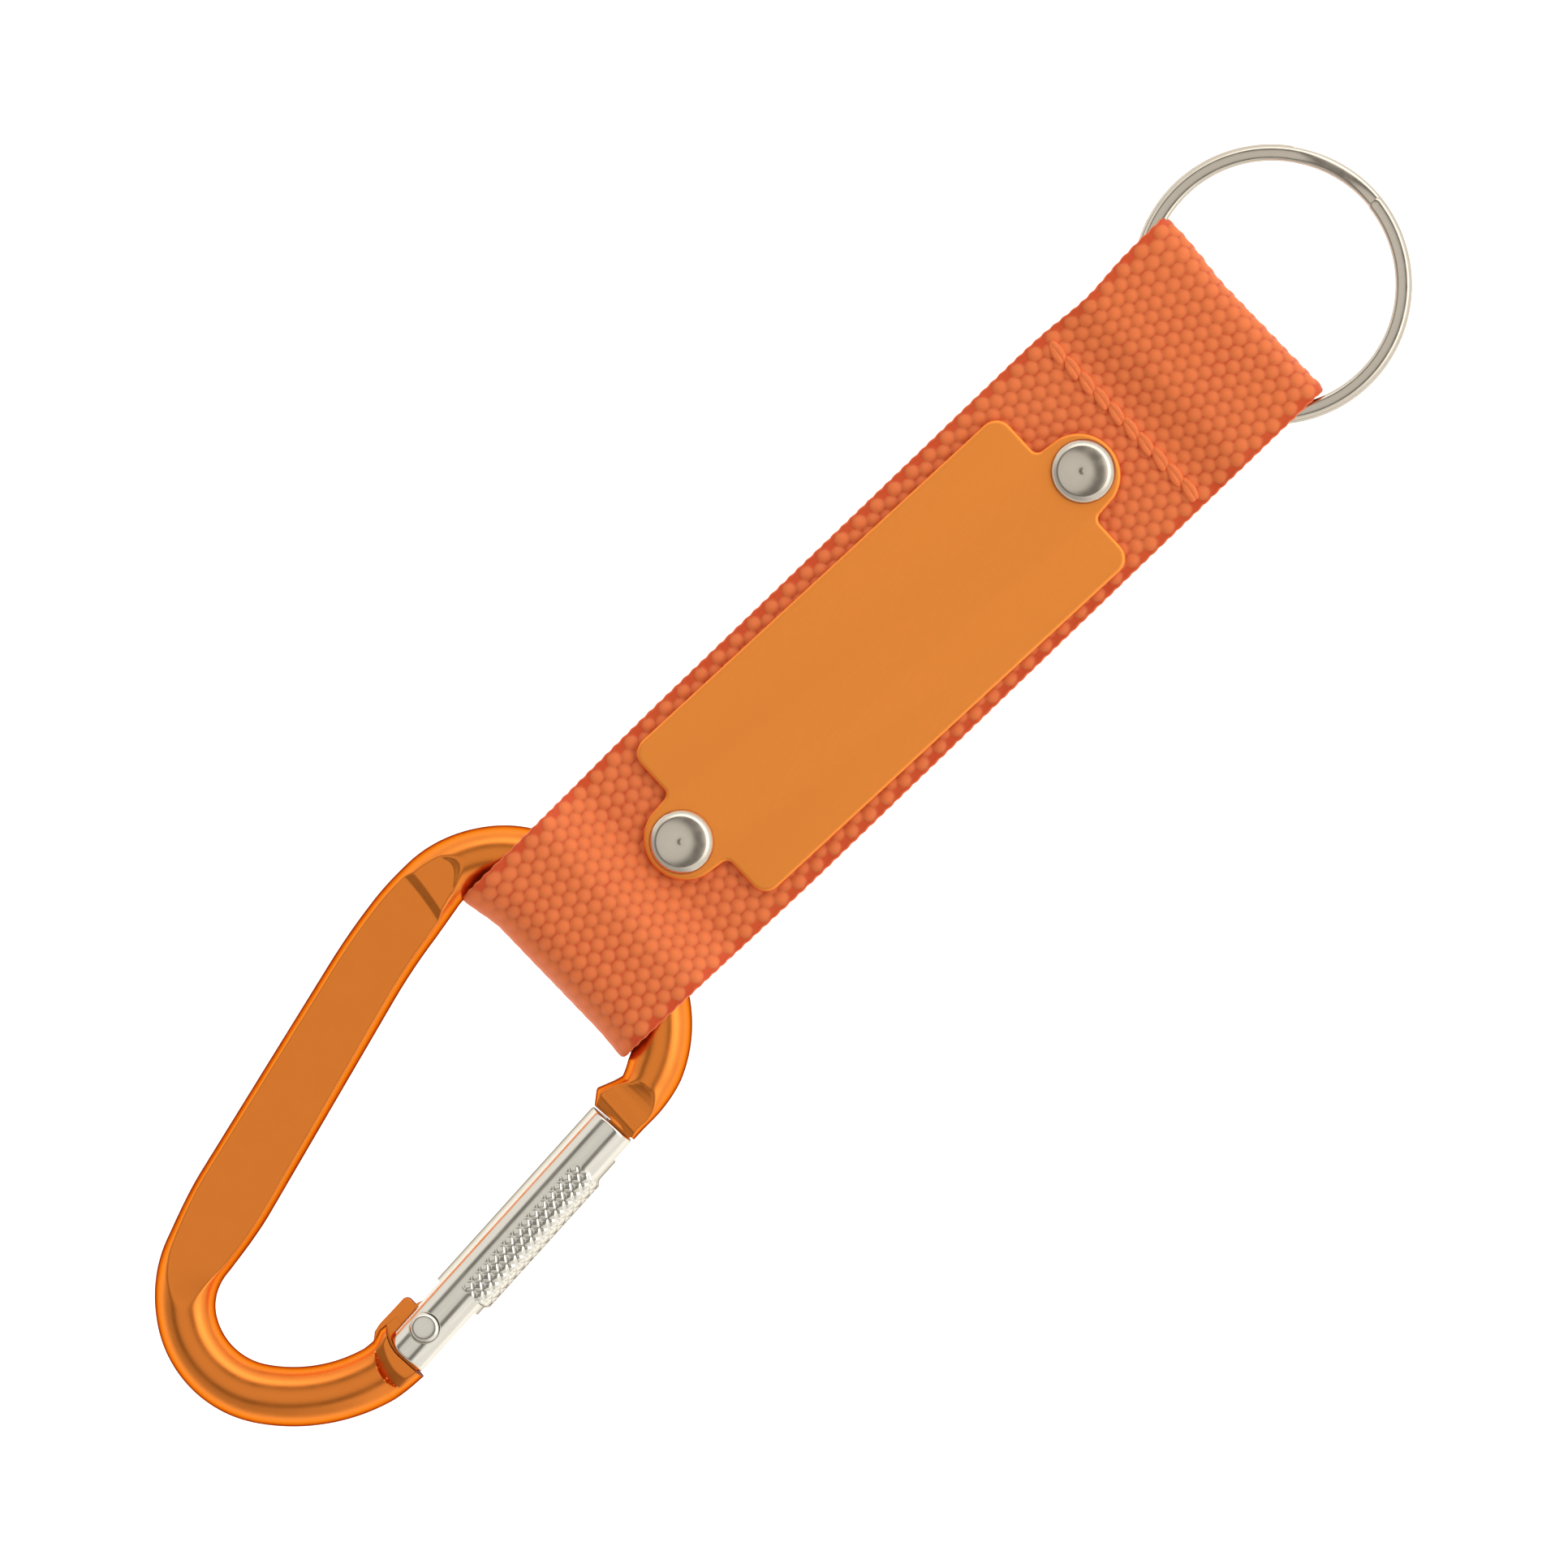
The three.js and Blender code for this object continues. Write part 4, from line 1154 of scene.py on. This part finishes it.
def make_floor():
    """The light table, set low enough for the carabiner to hang clear of it when it is folded down."""
    corners = [(x, y, -FLOOR_DROP) for x, y in ((-3, -3), (3, -3), (3, 3), (-3, 3))]
    mesh = raw_mesh("floor", corners, [[0, 1, 2, 3]])
    mesh.materials.append(pale_floor())
    floor = bpy.data.objects.new("floor", mesh)
    bpy.context.scene.collection.objects.link(floor)


def make_light():
    """A pale tent with a grey hood over the keyring, a dark rim round the hood, and walls that are
    brightest at the ring's end."""
    world = bpy.data.worlds.new("light_tent")
    bpy.context.scene.world = world
    world.use_nodes = True
    tree = world.node_tree
    tree.nodes.clear()
    way = add(tree, "ShaderNodeTexCoord").outputs["Generated"]
    side = add(tree, "ShaderNodeSeparateXYZ", {"Vector": way})
    axis = {1: Vector((-0.12, 0.15, 1)).normalized()}
    towards_hood = add(tree, "ShaderNodeVectorMath", {0: way}, axis, operation="DOT_PRODUCT").outputs["Value"]
    wall, rim = (0.95, 0.95, 0.95), (0.2, 0.19, 0.18)
    stops = ((0.0, wall), (0.66, wall), (0.74, rim), (0.86, rim), (0.9, (0.68, 0.68, 0.67)))
    stops += ((1.0, (0.73, 0.73, 0.72)),)
    tent = add(tree, "ShaderNodeValToRGB", {"Fac": towards_hood}, stops=stops)

    # The soft box at the ring's end is a band half way up the wall.
    smooth = {"interpolation_type": "SMOOTHSTEP"}
    east, upwards = {"Value": side.outputs["X"]}, {"Value": side.outputs["Z"]}
    soft_box = add(tree, "ShaderNodeMapRange", east, span(-0.1, 0.6, 0.0, 1.1), **smooth).outputs["Result"]
    stops = ((0.3, (0, 0, 0)), (0.55, (1, 1, 1)))
    band = add(tree, "ShaderNodeValToRGB", {"Fac": side.outputs["Z"]}, stops=stops)
    band.color_ramp.interpolation = "EASE"
    lit = {0: soft_box, 1: band.outputs["Color"]}
    gain = add(tree, "ShaderNodeMath", lit, {2: 0.95}, operation="MULTIPLY_ADD").outputs["Value"]
    # The far wall, behind the carabiner, is dimmer above the horizon.
    far = add(tree, "ShaderNodeMapRange", east, span(-0.2, -0.7, 0.0, 0.42), **smooth).outputs["Result"]
    above = add(tree, "ShaderNodeMapRange", upwards, span(0.05, 0.25, 0.0, 1.0)).outputs["Result"]
    dimming = add(tree, "ShaderNodeMath", {0: far, 1: above}, operation="MULTIPLY").outputs["Value"]
    gain = add(tree, "ShaderNodeMath", {0: gain, 1: dimming}, operation="SUBTRACT").outputs["Value"]
    limits = span(0.66, 0.8, 1.0, 0.0)
    share = add(tree, "ShaderNodeMapRange", {"Value": towards_hood}, limits).outputs["Result"]
    mixed = add(tree, "ShaderNodeMix", {"Factor": share, "B": gain}, {"A": 1.0}, data_type="FLOAT")
    strength = add(tree, "ShaderNodeMath", {0: mixed.outputs["Result"]}, {1: 1.1}, operation="MULTIPLY")
    total = strength.outputs["Value"]
    light = add(tree, "ShaderNodeBackground", {"Color": tent.outputs["Color"], "Strength": total})
    add(tree, "ShaderNodeOutputWorld", {"Surface": light.outputs["Background"]})
    bpy.context.scene.view_settings.view_transform = "Standard"


# ---- registration ----

OPERATORS = (
    KEYRING_OT_stage,
    KEYRING_OT_carabiner,
    KEYRING_OT_gate,
    KEYRING_OT_strap,
    KEYRING_OT_stitches,
    KEYRING_OT_label,
    KEYRING_OT_rivets,
    KEYRING_OT_ring,
)
CLASSES = (KeyringSizes, KeyringColours, *OPERATORS, KEYRING_PT_panel)


def register():
    for cls in CLASSES:
        bpy.utils.register_class(cls)
    bpy.types.Scene.keyring_sizes = bpy.props.PointerProperty(type=KeyringSizes)
    bpy.types.Scene.keyring_colours = bpy.props.PointerProperty(type=KeyringColours)


def unregister():
    del bpy.types.Scene.keyring_colours
    del bpy.types.Scene.keyring_sizes
    for cls in reversed(CLASSES):
        bpy.utils.unregister_class(cls)


def main():
    """Makes every piece."""
    register()
    for operator in OPERATORS:
        group, name = operator.bl_idname.split(".")
        getattr(getattr(bpy.ops, group), name)()


if __name__ == "__main__":
    main()
